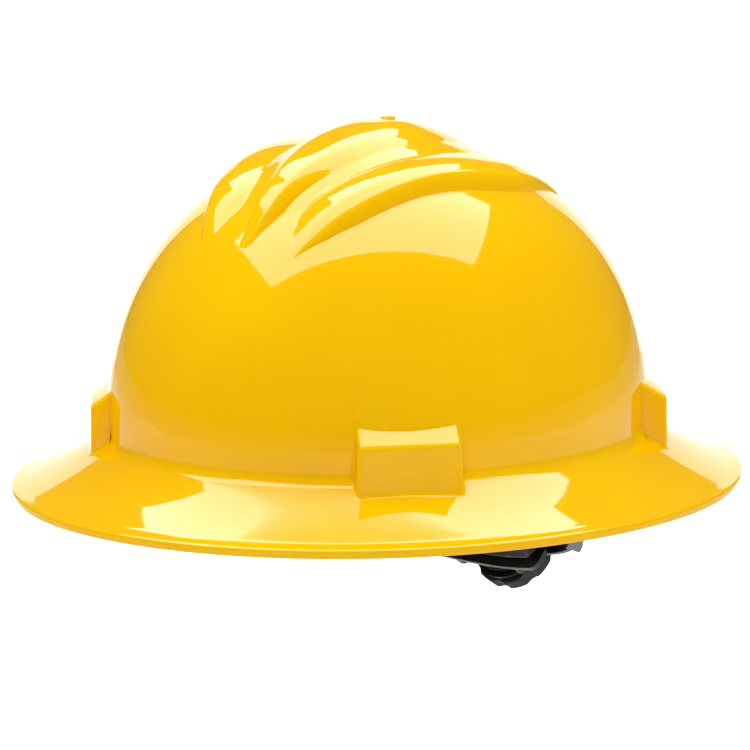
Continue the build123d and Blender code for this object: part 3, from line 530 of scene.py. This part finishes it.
def housing_top(corner, lateral):
    """Way out to where a housing's slanted top meets the dome, at one place across it."""
    origin, across, outward = corner
    share = (1 - ((HOUSING_MEETS_DOME - DOME_FOOT) / (CROWN - DOME_FOOT)) ** ROUND) ** (1 / ROUND)
    start = origin + across * lateral
    a = (outward.x / DOME_X) ** 2 + (outward.y / DOME_Y) ** 2
    b = start.x * outward.x / DOME_X**2 + start.y * outward.y / DOME_Y**2
    c = (start.x / DOME_X) ** 2 + (start.y / DOME_Y) ** 2 - share**2
    return (-b + math.sqrt(b * b - a * c)) / a


def housing_face(corner, lateral):
    """Way out to a housing's outer face, which turns a little with the dome, at one place across it."""
    origin, across, outward = corner
    return HOUSING_FACE - HOUSING_FACE_TURN * lateral * math.copysign(1, across.x * origin.x)


def housing_solid(corner):
    """Drafted housing whose slanted top meets the dome at one level, with softly rounded edges."""
    origin, across, outward = corner
    points = []
    for root in (True, False):
        for a in (-HOUSING_LOW_HALF, HOUSING_LOW_HALF):
            out = HOUSING_ROOT if root else housing_face(corner, a)
            share = HOUSING_ROOT_SHARE if root else 1
            points.append(origin + across * (a * share) + outward * out + Vector((0, 0, HOUSING_FOOT)))
        for a in (HOUSING_HIGH_HALF, -HOUSING_HIGH_HALF):
            face, meeting = housing_face(corner, a), housing_top(corner, a)
            out = HOUSING_ROOT if root else face
            height = HOUSING_EDGE + (HOUSING_MEETS_DOME - HOUSING_EDGE) * (face - out) / (face - meeting)
            points.append(origin + across * a + outward * out + Vector((0, 0, height)))
    piece = new_piece("housing", points, BOX_FACES)
    face_out(piece)
    step = piece.modifiers.new("edges", "BEVEL")
    step.width = HOUSING_ROUND * MM
    step.segments = 6
    step.limit_method = "NONE"
    return plain_mesh(piece)


# The brim's upper face beyond the dome, as (half width, height), to lay the fillets on
BRIM_TOP = [(x, z) for x, z in outer_profile()[100:] if x > 90 and z > 3.7]
FILLET, FILLET_CORNER, FILLET_HALF = 1.2, 2.0, 21.2
FILLET_START = -3.0  # way out where it starts, inside the dome
FILLET_ROOT, FILLET_SUNK = 0.6, 0.02  # how far it reaches into the housing, and lies under the brim's face


def brim_height(x, y):
    """Height of the dome's foot, its fillet or the brim at a point."""
    return float(np.interp(math.hypot(x, y * DOME_X / DOME_Y), *zip(*BRIM_TOP)))


def housing_fillet(corner):
    """Small fillet round the foot of a housing, where its faces run out into the brim."""
    origin, across, outward = corner
    half, bend = FILLET_HALF, FILLET_CORNER
    left, right = housing_face(corner, -half), housing_face(corner, half)
    path = [(-half, a) for a in np.linspace(FILLET_START, left - bend, 12)]
    turns = np.linspace(0, math.pi / 2, 8)[1:]
    path += [(-half + bend * (1 - math.cos(t)), left - bend + bend * math.sin(t)) for t in turns]
    run = np.linspace(-half + bend, half - bend, 40)[1:]
    path += [(a, left + (right - left) * (a + half) / (2 * half)) for a in run]
    turns = np.linspace(math.pi / 2, 0, 8)[1:]
    path += [(half - bend * (1 - math.cos(t)), right - bend + bend * math.sin(t)) for t in turns]
    path += [(half, a) for a in np.linspace(right - bend, FILLET_START, 12)[1:]]

    # Section as (step out, rise): the hollow curve, then a root inside the housing and the brim
    section = []
    for t in np.linspace(0, math.pi / 2, 7):
        section.append((FILLET * (1 - math.sin(t)), FILLET * (1 - math.cos(t)) - FILLET_SUNK))
    section += [(-FILLET_ROOT, FILLET), (-FILLET_ROOT, -FILLET), (FILLET, -FILLET)]
    rings = []
    for i, (a, b) in enumerate(path):
        before, after = path[max(i - 1, 0)], path[min(i + 1, len(path) - 1)]
        way = Vector((after[0] - before[0], after[1] - before[1], 0)).normalized()
        points = []
        for step, rise in section:
            here = origin + across * (a - way.y * step) + outward * (b + way.x * step)
            points.append(Vector((here.x, here.y, brim_height(here.x, here.y) + rise)))
        rings.append(points)
    return tube_solid("fillet", rings)


# A key's slot and the window behind it, as (way out from, way out to, half width, top)
KEY_SLOT = (1.5, 4.7, 15.3, 33.5)
KEY_WINDOW = (-4.5, 3.0, 7.5, 30.0)
SOCKET_FOOT = -4.0


def socket_block(corner, near, far, half, top):
    """Block that cuts a key's slot or window, from under the brim up to its top."""
    origin, across, outward = corner
    points = []
    for out in (near, far):
        for a, height in ((-half, SOCKET_FOOT), (half, SOCKET_FOOT), (half, top), (-half, top)):
            points.append(origin + across * a + outward * out + Vector((0, 0, height)))
    return new_piece("socket", points, BOX_FACES)


# Gate nub on the crown: where the plastic entered the mould
GATE_SECTION = ((0, 0.0), (3.0, 0.0), (3.0, 0.9), (2.7, 1.25), (2.2, 1.4), (0, 1.4))
GATE_SETBACK, GATE_HEIGHT = 6.0, 146.0


def gate_nub():
    """Small round nub with a rounded edge."""
    nub = lathe("gate", GATE_SECTION, 40)
    place = Matrix.Translation((0, GATE_SETBACK * MM, GATE_HEIGHT * MM))
    nub.data.transform(place @ Matrix.Diagonal((1, DOME_X / DOME_Y, 1, 1)))
    nub.data.flip_normals()
    return nub


INSIDE_EYE = (0, 0, -0.06)  # metres: faces turned towards this point are the core's


def finish_inside(shell):
    """Gives the faces that look inwards or down the core's duller finish."""
    mesh = shell.data
    mesh.materials.clear()
    mesh.materials.append(GLOSSY_SHELL)
    mesh.materials.append(INNER_SHELL)
    centres, normals = np.zeros(3 * len(mesh.polygons)), np.zeros(3 * len(mesh.polygons))
    mesh.polygons.foreach_get("center", centres)
    mesh.polygons.foreach_get("normal", normals)
    away = centres.reshape(-1, 3) - np.array(INSIDE_EYE)
    inward = (away * normals.reshape(-1, 3)).sum(axis=1) < 0
    mesh.polygons.foreach_set("material_index", inward.astype(np.int32))


def make_shell():
    """Outer form, ridges and housings joined, then the cavity and the key sockets cut away."""
    shell = lathe("shell_moulding", outer_profile(), 400)
    cavity = lathe("cavity", inner_profile(), 160)
    for ridge in RIDGES:
        cut_or_join(shell, ridge_solid(*ridge, shrink=0.0), "UNION")
        cut_or_join(cavity, ridge_solid(*ridge, shrink=WALL), "UNION")
    corners = [housing_frame(side, back) for side in (1, -1) for back in (False, True)]
    for corner in corners:
        cut_or_join(shell, housing_solid(corner), "UNION")
        cut_or_join(shell, housing_fillet(corner), "UNION")
    cut_or_join(shell, gate_nub(), "UNION")
    cut_or_join(shell, cavity, "DIFFERENCE")
    for corner in corners:
        cut_or_join(shell, socket_block(corner, *KEY_SLOT), "DIFFERENCE")
        cut_or_join(shell, socket_block(corner, *KEY_WINDOW), "DIFFERENCE")
    finish_inside(shell)
    shade(shell, 28)
    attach(shell, "helmet")
    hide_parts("shell")


make_shell()


# Stitching on the webbing and the pads

STITCH_LENGTH, THREAD_WIDTH = 2.6, 0.5
TAPE_PITCH, PAD_PITCH = 3.0, 3.4


def stitch_tree():
    """Even stitches along any edges: pitch, stitch length and thread are its named inputs, in metres."""
    tree = bpy.data.node_groups.new("stitching", "GeometryNodeTree")
    tree.interface.new_socket(name="Seams", in_out="INPUT", socket_type="NodeSocketGeometry")
    for label, size in (("Pitch", PAD_PITCH), ("Stitch length", STITCH_LENGTH), ("Thread", THREAD_WIDTH)):
        made = tree.interface.new_socket(name=label, in_out="INPUT", socket_type="NodeSocketFloat")
        made.default_value = size * MM
    tree.interface.new_socket(name="Stitches", in_out="OUTPUT", socket_type="NodeSocketGeometry")
    given = add(tree, "NodeGroupInput").outputs
    line = add(tree, "GeometryNodeMeshToCurve", {"Mesh": given["Seams"]})
    spaced = {"Curve": line.outputs["Curve"], "Length": given["Pitch"]}
    places = add(tree, "GeometryNodeCurveToPoints", spaced, mode="LENGTH").outputs
    grain = add(tree, "GeometryNodeMeshIcoSphere", {"Radius": 0.5, "Subdivisions": 1})
    sizes = {"X": given["Thread"], "Y": given["Thread"], "Z": given["Stitch length"]}
    size = add(tree, "ShaderNodeCombineXYZ", sizes)
    drawn = {"Geometry": grain.outputs["Mesh"], "Scale": size.outputs["Vector"]}
    stitch = add(tree, "GeometryNodeTransform", drawn)
    laid = add(
        tree, "GeometryNodeInstanceOnPoints",
        {"Points": places["Points"], "Instance": stitch.outputs["Geometry"], "Rotation": places["Rotation"]},
    )
    real = add(tree, "GeometryNodeRealizeInstances", {"Geometry": laid.outputs["Instances"]})
    sewn = {"Geometry": real.outputs["Geometry"], "Material": THREAD}
    last = add(tree, "GeometryNodeSetMaterial", sewn)
    add(tree, "NodeGroupOutput", {"Stitches": last.outputs["Geometry"]})
    return tree


STITCHING = stitch_tree()


def sew(name, lines, pitch, body):
    """Stitches along lines of points in millimetres, as one plain piece on a body."""
    edges, start = [], 0
    for line in lines:
        edges += [(start + i, start + i + 1) for i in range(len(line) - 1)]
        start += len(line)
    seams = new_piece(name, [p for line in lines for p in line], [], edges)
    step = seams.modifiers.new("stitches", "NODES")
    step.node_group = STITCHING
    for item in STITCHING.interface.items_tree:
        if item.in_out == "INPUT" and item.name == "Pitch":
            step[item.identifier] = pitch * MM
    plain_mesh(seams)
    shade(seams, 60)
    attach(seams, body)


# Webbing straps. A strap lies in one upright plane, and its line is (outward, height) in that plane.

STRAP_CROWN, STRAP_LEVEL = 103.0, 2.3  # height of the lower strap's middle, and the upper one's extra
INNER_RUN, OUTER_RUN = 10.15, 5.65  # runs inside and outside the key's bar, in from the dome's foot
KEY_BAR = 29.0  # height where the tape turns round the bar
MERGE = 40.0  # height where the tail comes back to the strap
SHOULDER_REACH, SHOULDER_DROP = 0.547, 0.175  # ends of the arc over the crown, as shares of span and drop
OUTER_RUN_TOP = 34.0
TAIL_FOOT, TAIL_END, TAIL_STEP = 42.5, 60.0, 1.36  # heights of the sewn tail, and its step off the strap
TAPE_SECTION = (
    (-9.5, 0.0), (-9.35, 0.42), (-8.9, 0.64), (-8.0, 0.58), (-4.0, 0.6),
    (0.0, 0.6), (4.0, 0.6), (8.0, 0.58), (8.9, 0.64), (9.35, 0.42),
    (9.5, 0.0), (9.35, -0.42), (8.9, -0.64), (8.0, -0.58), (4.0, -0.6),
    (0.0, -0.6), (-4.0, -0.6), (-8.0, -0.58), (-8.9, -0.64), (-9.35, -0.42),
)
SEWN_HALF = 7.0  # the sewn box's half width
SEAM_LIFT = -0.72  # the stitches lie on the tail's outer face


def line_normals(path):
    """Unit normals to the left of a line's run, one for each point."""
    way = np.gradient(np.array(path), axis=0)
    way /= np.hypot(way[:, 0], way[:, 1])[:, None]
    return np.column_stack((-way[:, 1], way[:, 0]))


def strap_half(half_span, crown):
    """Line of half a strap, from over the crown to the end of a sewn tail, and the tail's count of points."""
    inner, outer = half_span - INNER_RUN, half_span - OUTER_RUN
    shoulder = (inner * SHOULDER_REACH, crown - (crown - MERGE) * SHOULDER_DROP)
    over = arc_through((-shoulder[0], shoulder[1]), (0, crown), shoulder, 61)[30:]

    # An arc from the shoulder, on the same tangent, down to where the tail joins
    last, merge = np.array(over[-1]), np.array((inner, MERGE))
    way = last - np.array(over[-2])
    way /= np.hypot(*way)
    chord, normal = merge - last, np.array((way[1], -way[0]))
    reach = chord @ chord / (2 * (chord @ normal))
    centre = last + normal * reach
    start, stop = math.atan2(*(last - centre)[::-1]), math.atan2(*(merge - centre)[::-1])
    turns = np.linspace(start, stop, 40)
    down = [tuple(centre + reach * np.array((math.cos(t), math.sin(t)))) for t in turns]
    path = over + down[1:] + [(inner, z) for z in np.linspace(MERGE, KEY_BAR, 6)[1:]]

    # Round the key's bar, up its outer side and back against the strap
    bar, bend = (inner + outer) / 2, (outer - inner) / 2
    turns = np.linspace(0, math.pi, 17)[1:]
    path += [(bar - bend * math.cos(t), KEY_BAR - bend * math.sin(t)) for t in turns]
    path += [(outer, z) for z in np.linspace(KEY_BAR, OUTER_RUN_TOP, 4)[1:]]
    beside = np.array(down) + TAIL_STEP * line_normals(down)
    tail = [tuple(p) for p, (_, z) in zip(beside, down) if TAIL_FOOT < z < TAIL_END][::-1]
    join_out, join_height = tail[0]
    for t in np.linspace(0, 1, 8)[1:-1]:
        ease = t * t * (3 - 2 * t)
        path.append((outer + (join_out - outer) * ease, OUTER_RUN_TOP + (join_height - OUTER_RUN_TOP) * t))
    return path + tail, len(tail)


def make_strap(node, side, level):
    """Woven tape from a front key over the crown to the opposite rear key, turned back and sewn there."""
    front, rear = housing_frame(side, False), housing_frame(-side, True)
    middle, outward = (front[0] + rear[0]) / 2, front[2]
    sideways = Vector((outward.y, -outward.x, 0))
    half, tail = strap_half((front[0] - rear[0]).length / 2, STRAP_CROWN + level * STRAP_LEVEL)
    path = [(-x, z) for x, z in half[:0:-1]] + half
    normals = line_normals(path)
    run = np.concatenate(([0], np.cumsum(np.hypot(*np.diff(np.array(path), axis=0).T))))

    def place(i, across, lift):
        x, z = np.array(path[i]) + normals[i] * lift
        return middle + outward * x + Vector((0, 0, z)) + sideways * across

    rings = [[place(i, a, h) for a, h in TAPE_SECTION] for i in range(len(path))]
    tape = tube_solid(node + "_tape", rings)
    tape.data.materials.append(WEBBING)
    count = len(TAPE_SECTION)
    layer = tape.data.uv_layers.new(name="tape")
    for loop in tape.data.loops:
        row, point = divmod(loop.vertex_index, count)
        layer.data[loop.index].uv = (run[row], TAPE_SECTION[point][0])
    shade(tape, 50)
    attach(tape, "helmet")
    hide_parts(node)

    # A sewn box with a cross in it, on each tail
    lines = []
    for rows in (range(1, tail - 1), range(len(path) - 2, len(path) - tail, -1)):
        lines += [[place(i, a, SEAM_LIFT) for i in rows] for a in (-SEWN_HALF, SEWN_HALF)]
        for i in (rows[0], rows[-1]):
            lines.append([place(i, a, SEAM_LIFT) for a in np.linspace(-SEWN_HALF, SEWN_HALF, 6)])
        slant = np.linspace(-SEWN_HALF, SEWN_HALF, len(rows))
        lines += [[place(i, way * a, SEAM_LIFT) for i, a in zip(rows, slant)] for way in (1, -1)]
    sew(node + "_stitching", lines, TAPE_PITCH, "helmet")


# Foam pads with knitted covers

PAD_GRID = 1.5
PAD_SUNK = 0.9  # the pad starts this much smaller than its solid, because it swells
SEAM_DEPTH, SEAM_WIDTH = 0.9, 1.5
SEAM_HOLD = 1.3  # points nearer a seam than this are held down
PAD_SWELL = 1.0  # no point moves further than this
PAD_PRESSURE, LAST_FRAME = 4.0, 20
STITCH_PROUD = 0.12


def fill_pad(pad, points, gap):
    """Swells a pad with a cloth simulation, held down along its seams, and keeps the result."""
    mesh, count = pad.data, len(points)
    sewn = pad.vertex_groups.new(name="sewn")
    sewn.add([int(i) for i in np.nonzero(gap < SEAM_HOLD)[0]], 1.0, "REPLACE")
    cloth = pad.modifiers.new("fill", "CLOTH")
    cloth.settings.use_pressure = True
    cloth.settings.uniform_pressure_force = PAD_PRESSURE
    cloth.settings.vertex_group_mass = "sewn"
    cloth.settings.effector_weights.gravity = 0.0
    cloth.collision_settings.use_collision = False
    cloth.point_cache.frame_start, cloth.point_cache.frame_end = 1, LAST_FRAME
    for frame_number in range(1, LAST_FRAME + 1):
        bpy.context.scene.frame_set(frame_number)
    filled = bpy.data.meshes.new_from_object(pad.evaluated_get(bpy.context.evaluated_depsgraph_get()))
    after = np.zeros(3 * count)
    filled.vertices.foreach_get("co", after)
    bpy.data.meshes.remove(filled)
    pad.modifiers.clear()
    bpy.context.scene.frame_set(1)
    move = after.reshape(-1, 3) / MM - points
    length = np.linalg.norm(move, axis=1)[:, None]
    move *= np.minimum(1.0, PAD_SWELL / np.maximum(length, 1e-6))
    mesh.vertices.foreach_set("co", ((points + move) * MM).ravel())
    mesh.update()


def make_pad(node, body, seam_gap):
    """Pad from a smaller copy of its solid, sewn down where seam_gap, a point's way to a seam, is small."""
    pad = bpy.data.objects.new(node + "_padding", nodes[node].data.copy())
    bpy.context.scene.collection.objects.link(pad)
    joined = bmesh.new()
    joined.from_mesh(pad.data)
    bmesh.ops.remove_doubles(joined, verts=joined.verts, dist=0.01 * MM)
    joined.to_mesh(pad.data)
    joined.free()
    step = pad.modifiers.new("grid", "REMESH")
    step.mode = "VOXEL"
    step.voxel_size = PAD_GRID * MM
    plain_mesh(pad)
    mesh = pad.data
    mesh.materials.clear()
    mesh.materials.append(KNIT)
    points, normals = np.zeros(3 * len(mesh.vertices)), np.zeros(3 * len(mesh.vertices))
    mesh.vertices.foreach_get("co", points)
    mesh.vertex_normals.foreach_get("vector", normals)
    points = points.reshape(-1, 3) / MM
    gap = seam_gap(points)
    depth = PAD_SUNK + SEAM_DEPTH * np.exp(-(gap / SEAM_WIDTH) ** 2)
    points -= normals.reshape(-1, 3) * depth[:, None]
    mesh.vertices.foreach_set("co", (points * MM).ravel())
    mesh.update()
    fill_pad(pad, points, gap)
    finer = pad.modifiers.new("finer", "SUBSURF")
    finer.levels = finer.render_levels = 1
    plain_mesh(pad)
    shade(pad, 180)
    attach(pad, body)
    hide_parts(node)
    return pad


def on_pad(pad, starts, ways):
    """Points where rays meet a finished pad, a little proud of its cover."""
    found = []
    for start, way in zip(starts, ways):
        hit, place, normal, _ = pad.ray_cast(Vector(start) * MM, Vector(way).normalized())
        if hit:
            found.append(place / MM + normal * STITCH_PROUD)
    return found


def box_mm(node):
    """Low and high corners of a CAD piece's box."""
    low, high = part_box(node)
    return np.array(low) / MM, np.array(high) / MM


def make_crown_pad():
    """Round pad under the crossing of the straps, sewn in a ring and a cross."""
    low, high = box_mm("crown_pad")
    (x0, y0, _) = (low + high) / 2
    ring, cross_reach, below = 26.0, 25.0, 40.0

    def seam_gap(p):
        reach = np.hypot(p[:, 0] - x0, p[:, 1] - y0)
        cross = np.minimum(np.abs(p[:, 0] - x0), np.abs(p[:, 1] - y0))
        return np.minimum(np.abs(reach - ring), np.where(reach < ring, cross, np.inf))

    pad = make_pad("crown_pad", "helmet", seam_gap)
    turns = np.linspace(0, 2 * math.pi, 73)
    steps = np.linspace(-cross_reach, cross_reach, 26)
    lines = [
        [(x0 + ring * math.cos(t), y0 + ring * math.sin(t), below) for t in turns],
        [(x0 + a, y0, below) for a in steps],
        [(x0, y0 + a, below) for a in steps],
    ]
    lines = [on_pad(pad, line, [(0, 0, 1)] * len(line)) for line in lines]
    sew("crown_pad_stitching", lines, PAD_PITCH, "helmet")


NAPE_CENTRE = 12.5  # how far back the headband's middle lies
HEM = 4.2  # from a pad's long edge to its hem seam
HEM_REACH = 14  # degrees that a hem seam may run on past the last channel


def make_band_pad(node, body, channels, facing):
    """Pad inside the band: hem seams along its long edges, and channels across them at turns in degrees."""
    low, high = box_mm(node)
    levels = (low[2] + HEM, high[2] - HEM)

    def seam_gap(p):
        around = np.arctan2(p[:, 0], facing * (p[:, 1] - NAPE_CENTRE))
        reach = np.hypot(p[:, 0], p[:, 1] - NAPE_CENTRE)
        gap = np.minimum(np.abs(p[:, 2] - levels[0]), np.abs(p[:, 2] - levels[1]))
        inside = (p[:, 2] > levels[0]) & (p[:, 2] < levels[1])
        for turn in channels:
            along = np.abs(around - math.radians(turn)) * reach
            gap = np.minimum(gap, np.where(inside, along, np.inf))
        return gap

    def way(turn):
        return (math.sin(turn), facing * math.cos(turn), 0)

    pad = make_pad(node, body, seam_gap)
    lines = []
    hem_turns = np.radians(np.linspace(channels[0] - HEM_REACH, channels[-1] + HEM_REACH, 90))
    for level in levels:
        ways = [way(turn) for turn in hem_turns]
        lines.append(on_pad(pad, [(0, NAPE_CENTRE, level)] * len(ways), ways))
    for turn in np.radians(channels):
        starts = [(0, NAPE_CENTRE, z) for z in np.linspace(levels[0], levels[1], 14)]
        lines.append(on_pad(pad, starts, [way(turn)] * len(starts)))
    lines = [line for line in lines if len(line) > 2]
    sew(node + "_stitching", lines, PAD_PITCH, body)


make_strap("front_left_strap", 1, 0)
make_strap("front_right_strap", -1, 1)
make_crown_pad()
make_band_pad("brow_pad", "helmet", (-44, -33, -22, -11, 0, 11, 22, 33, 44), -1.0)
make_band_pad("nape_pad", "nape_frame", (-12, 0, 12), 1.0)


# CAD pieces with a finer finish

FINISHES = {
    "grey_plastic": KEY_NYLON,
    "black_plastic": BLACK_NYLON,
    "strap_plastic": DARK_STRAP,
    "webbing": WEBBING,
    "foam_cloth": KNIT,
    "grip_rubber": GRIP,
    "screw_steel": SCREW_STEEL,
    "yellow_shell": GLOSSY_SHELL,
}
for row in frame["record"]["subparts"]:
    for seat in nodes[row["node"]].material_slots:
        seat.material = FINISHES[row["material_slot"]]


# Studio: pale floor, soft light and the camera of the photograph

VIEW_ROUND, VIEW_UP, VIEW_REACH = 38.4, 10.8, 3.0  # degrees round from the front and up, and metres
VIEW_SHIFT_RIGHT, VIEW_SHIFT_UP = -0.0015, 0.0424  # metres
SENSOR_WIDTH, FOCAL_LENGTH = 36.0, 358.6
DOWN, UP = (0, 0, -1), (0, 0, 1)
SOFTBOX_WAY = (0.658, 0.753, 0)  # the softboxes' long side
VIEW_RIGHT, VIEW_BACK = (0.784, 0.621, 0), (0.62, -0.78, 0)
FLOOR_HALF, FLOOR_HEIGHT = 9000, -300  # millimetres
FLOOR_IN_GLOSS = 0.25  # how brightly gloss shows the floor
AIR_STRENGTH = 0.1
# Each lamp: name, place, way of its width, facing, width, height, radiance, and whether only gloss shows it
LAMPS = (
    ("overhead_softbox", (-0.189, 0.218, 1.54), SOFTBOX_WAY, DOWN, 2.27, 1.295, 7.6, True),
    ("rear_softbox", (-0.816, 0.978, 1.54), SOFTBOX_WAY, DOWN, 1.42, 0.65, 7.6, True),
    ("backdrop_glow", (-1.55, 1.96, 0.3), VIEW_RIGHT, VIEW_BACK, 2.2, 1.15, 1.4, True),
    ("floor_glow", (-1.24, 1.57, -0.28), VIEW_RIGHT, UP, 1.45, 2.4, 1.4, True),
    ("overhead_fill", (0, 0, 2.3), (1, 0, 0), DOWN, 3.0, 3.0, 2.8, False),
)
FILL_REACH, FILL_HEIGHT, FILL_WIDTH, FILL_TALL, FILL_RADIANCE = 2.6, 0.5, 2.4, 2.0, 1.6


def paper_sweep():
    """White paper: its own shade to the light, and plain white to the camera and through clear things.

    Gloss shows it dimly, so the lower dome stays yellow. From below it is clear, so the inside shows.
    """
    material, tree = new_material("white_paper_sweep")
    seen = add(tree, "ShaderNodeLightPath").outputs
    direct = {0: seen["Is Camera Ray"], 1: seen["Is Transmission Ray"]}
    either = add(tree, "ShaderNodeMath", direct, operation="MAXIMUM")
    in_gloss = {0: seen["Is Glossy Ray"], 1: FLOOR_IN_GLOSS}
    gloss = add(tree, "ShaderNodeMath", in_gloss, operation="MULTIPLY")
    shown = add(tree, "ShaderNodeMath", {0: either.outputs[0], 1: gloss.outputs[0]}, operation="MAXIMUM")
    paper = add(tree, "ShaderNodeBsdfDiffuse", {"Color": linear("#E9E9E8")})
    white = add(tree, "ShaderNodeEmission", {"Color": (1, 1, 1, 1), "Strength": 1.0})
    dark = add(tree, "ShaderNodeEmission", {"Color": (0, 0, 0, 1), "Strength": 0.0})
    glow = add(tree, "ShaderNodeMixShader", {0: shown.outputs[0], 1: dark.outputs[0], 2: white.outputs[0]})
    total = add(tree, "ShaderNodeAddShader", {0: paper.outputs[0], 1: glow.outputs[0]})
    clear = add(tree, "ShaderNodeBsdfTransparent")
    face = add(tree, "ShaderNodeNewGeometry").outputs["Backfacing"]
    sheet = add(tree, "ShaderNodeMixShader", {0: face, 1: total.outputs[0], 2: clear.outputs[0]})
    add(tree, "ShaderNodeOutputMaterial", {"Surface": sheet.outputs[0]})
    return material


def studio_air():
    """World that is white to the camera and lights the object faintly."""
    world = bpy.data.worlds.new("studio_air")
    bpy.context.scene.world = world
    world.use_nodes = True
    tree = world.node_tree
    camera_ray = add(tree, "ShaderNodeLightPath").outputs["Is Camera Ray"]
    strength = add(tree, "ShaderNodeMath", {0: camera_ray, 1: AIR_STRENGTH}, operation="MAXIMUM")
    air = tree.nodes["Background"].inputs
    air["Color"].default_value = (1, 1, 1, 1)
    tree.links.new(strength.outputs[0], air["Strength"])


def lamp(name, place, across, facing, width, height, radiance, glossy):
    """Rectangular lamp: either a softbox that shows in the gloss, or a plain fill that doesn't."""
    light = bpy.data.lights.new(name, "AREA")
    light.shape = "RECTANGLE"
    light.size, light.size_y = width, height
    light.energy = radiance * math.pi * width * height
    holder = bpy.data.objects.new(name, light)
    bpy.context.scene.collection.objects.link(holder)
    x = Vector(across).normalized()
    z = -Vector(facing).normalized()
    turn = Matrix((x, z.cross(x), z)).transposed().to_4x4()
    holder.matrix_world = Matrix.Translation(place) @ turn
    holder.visible_camera = False
    holder.visible_glossy = glossy
    holder.visible_diffuse = not glossy


def studio():
    """Paper, air, softboxes and four even fills round the object."""
    a, z = FLOOR_HALF, FLOOR_HEIGHT
    floor = new_piece("floor", [(-a, -a, z), (a, -a, z), (a, a, z), (-a, a, z)], [(0, 1, 2, 3)])
    floor.data.materials.append(paper_sweep())
    studio_air()
    for row in LAMPS:
        lamp(*row)
    for quarter in range(4):
        around = VIEW_ROUND + 90 * quarter
        turn = math.radians(around)
        place = Vector((math.sin(turn), -math.cos(turn), 0)) * FILL_REACH + Vector((0, 0, FILL_HEIGHT))
        across = (math.cos(turn), math.sin(turn), 0)
        lamp("fill_%d" % around, place, across, -place, FILL_WIDTH, FILL_TALL, FILL_RADIANCE, False)


def camera():
    """Camera at the photograph's angle and framing, with a long lens."""
    around, above = math.radians(VIEW_ROUND), math.radians(VIEW_UP)
    back = Vector((math.sin(around) * math.cos(above), -math.cos(around) * math.cos(above), math.sin(above)))
    right = Vector((math.cos(around), math.sin(around), 0))
    up = back.cross(right)
    lens = bpy.data.cameras.new("product_lens")
    lens.sensor_width = SENSOR_WIDTH
    lens.lens = FOCAL_LENGTH
    eye = bpy.data.objects.new("product_camera", lens)
    bpy.context.scene.collection.objects.link(eye)
    eye.location = back * VIEW_REACH + right * VIEW_SHIFT_RIGHT + up * VIEW_SHIFT_UP
    eye.rotation_mode = "QUATERNION"
    eye.rotation_quaternion = Matrix((right, up, back)).transposed().to_quaternion()
    bpy.context.scene.camera = eye


studio()
camera()
bpy.context.scene.view_settings.view_transform = "Standard"
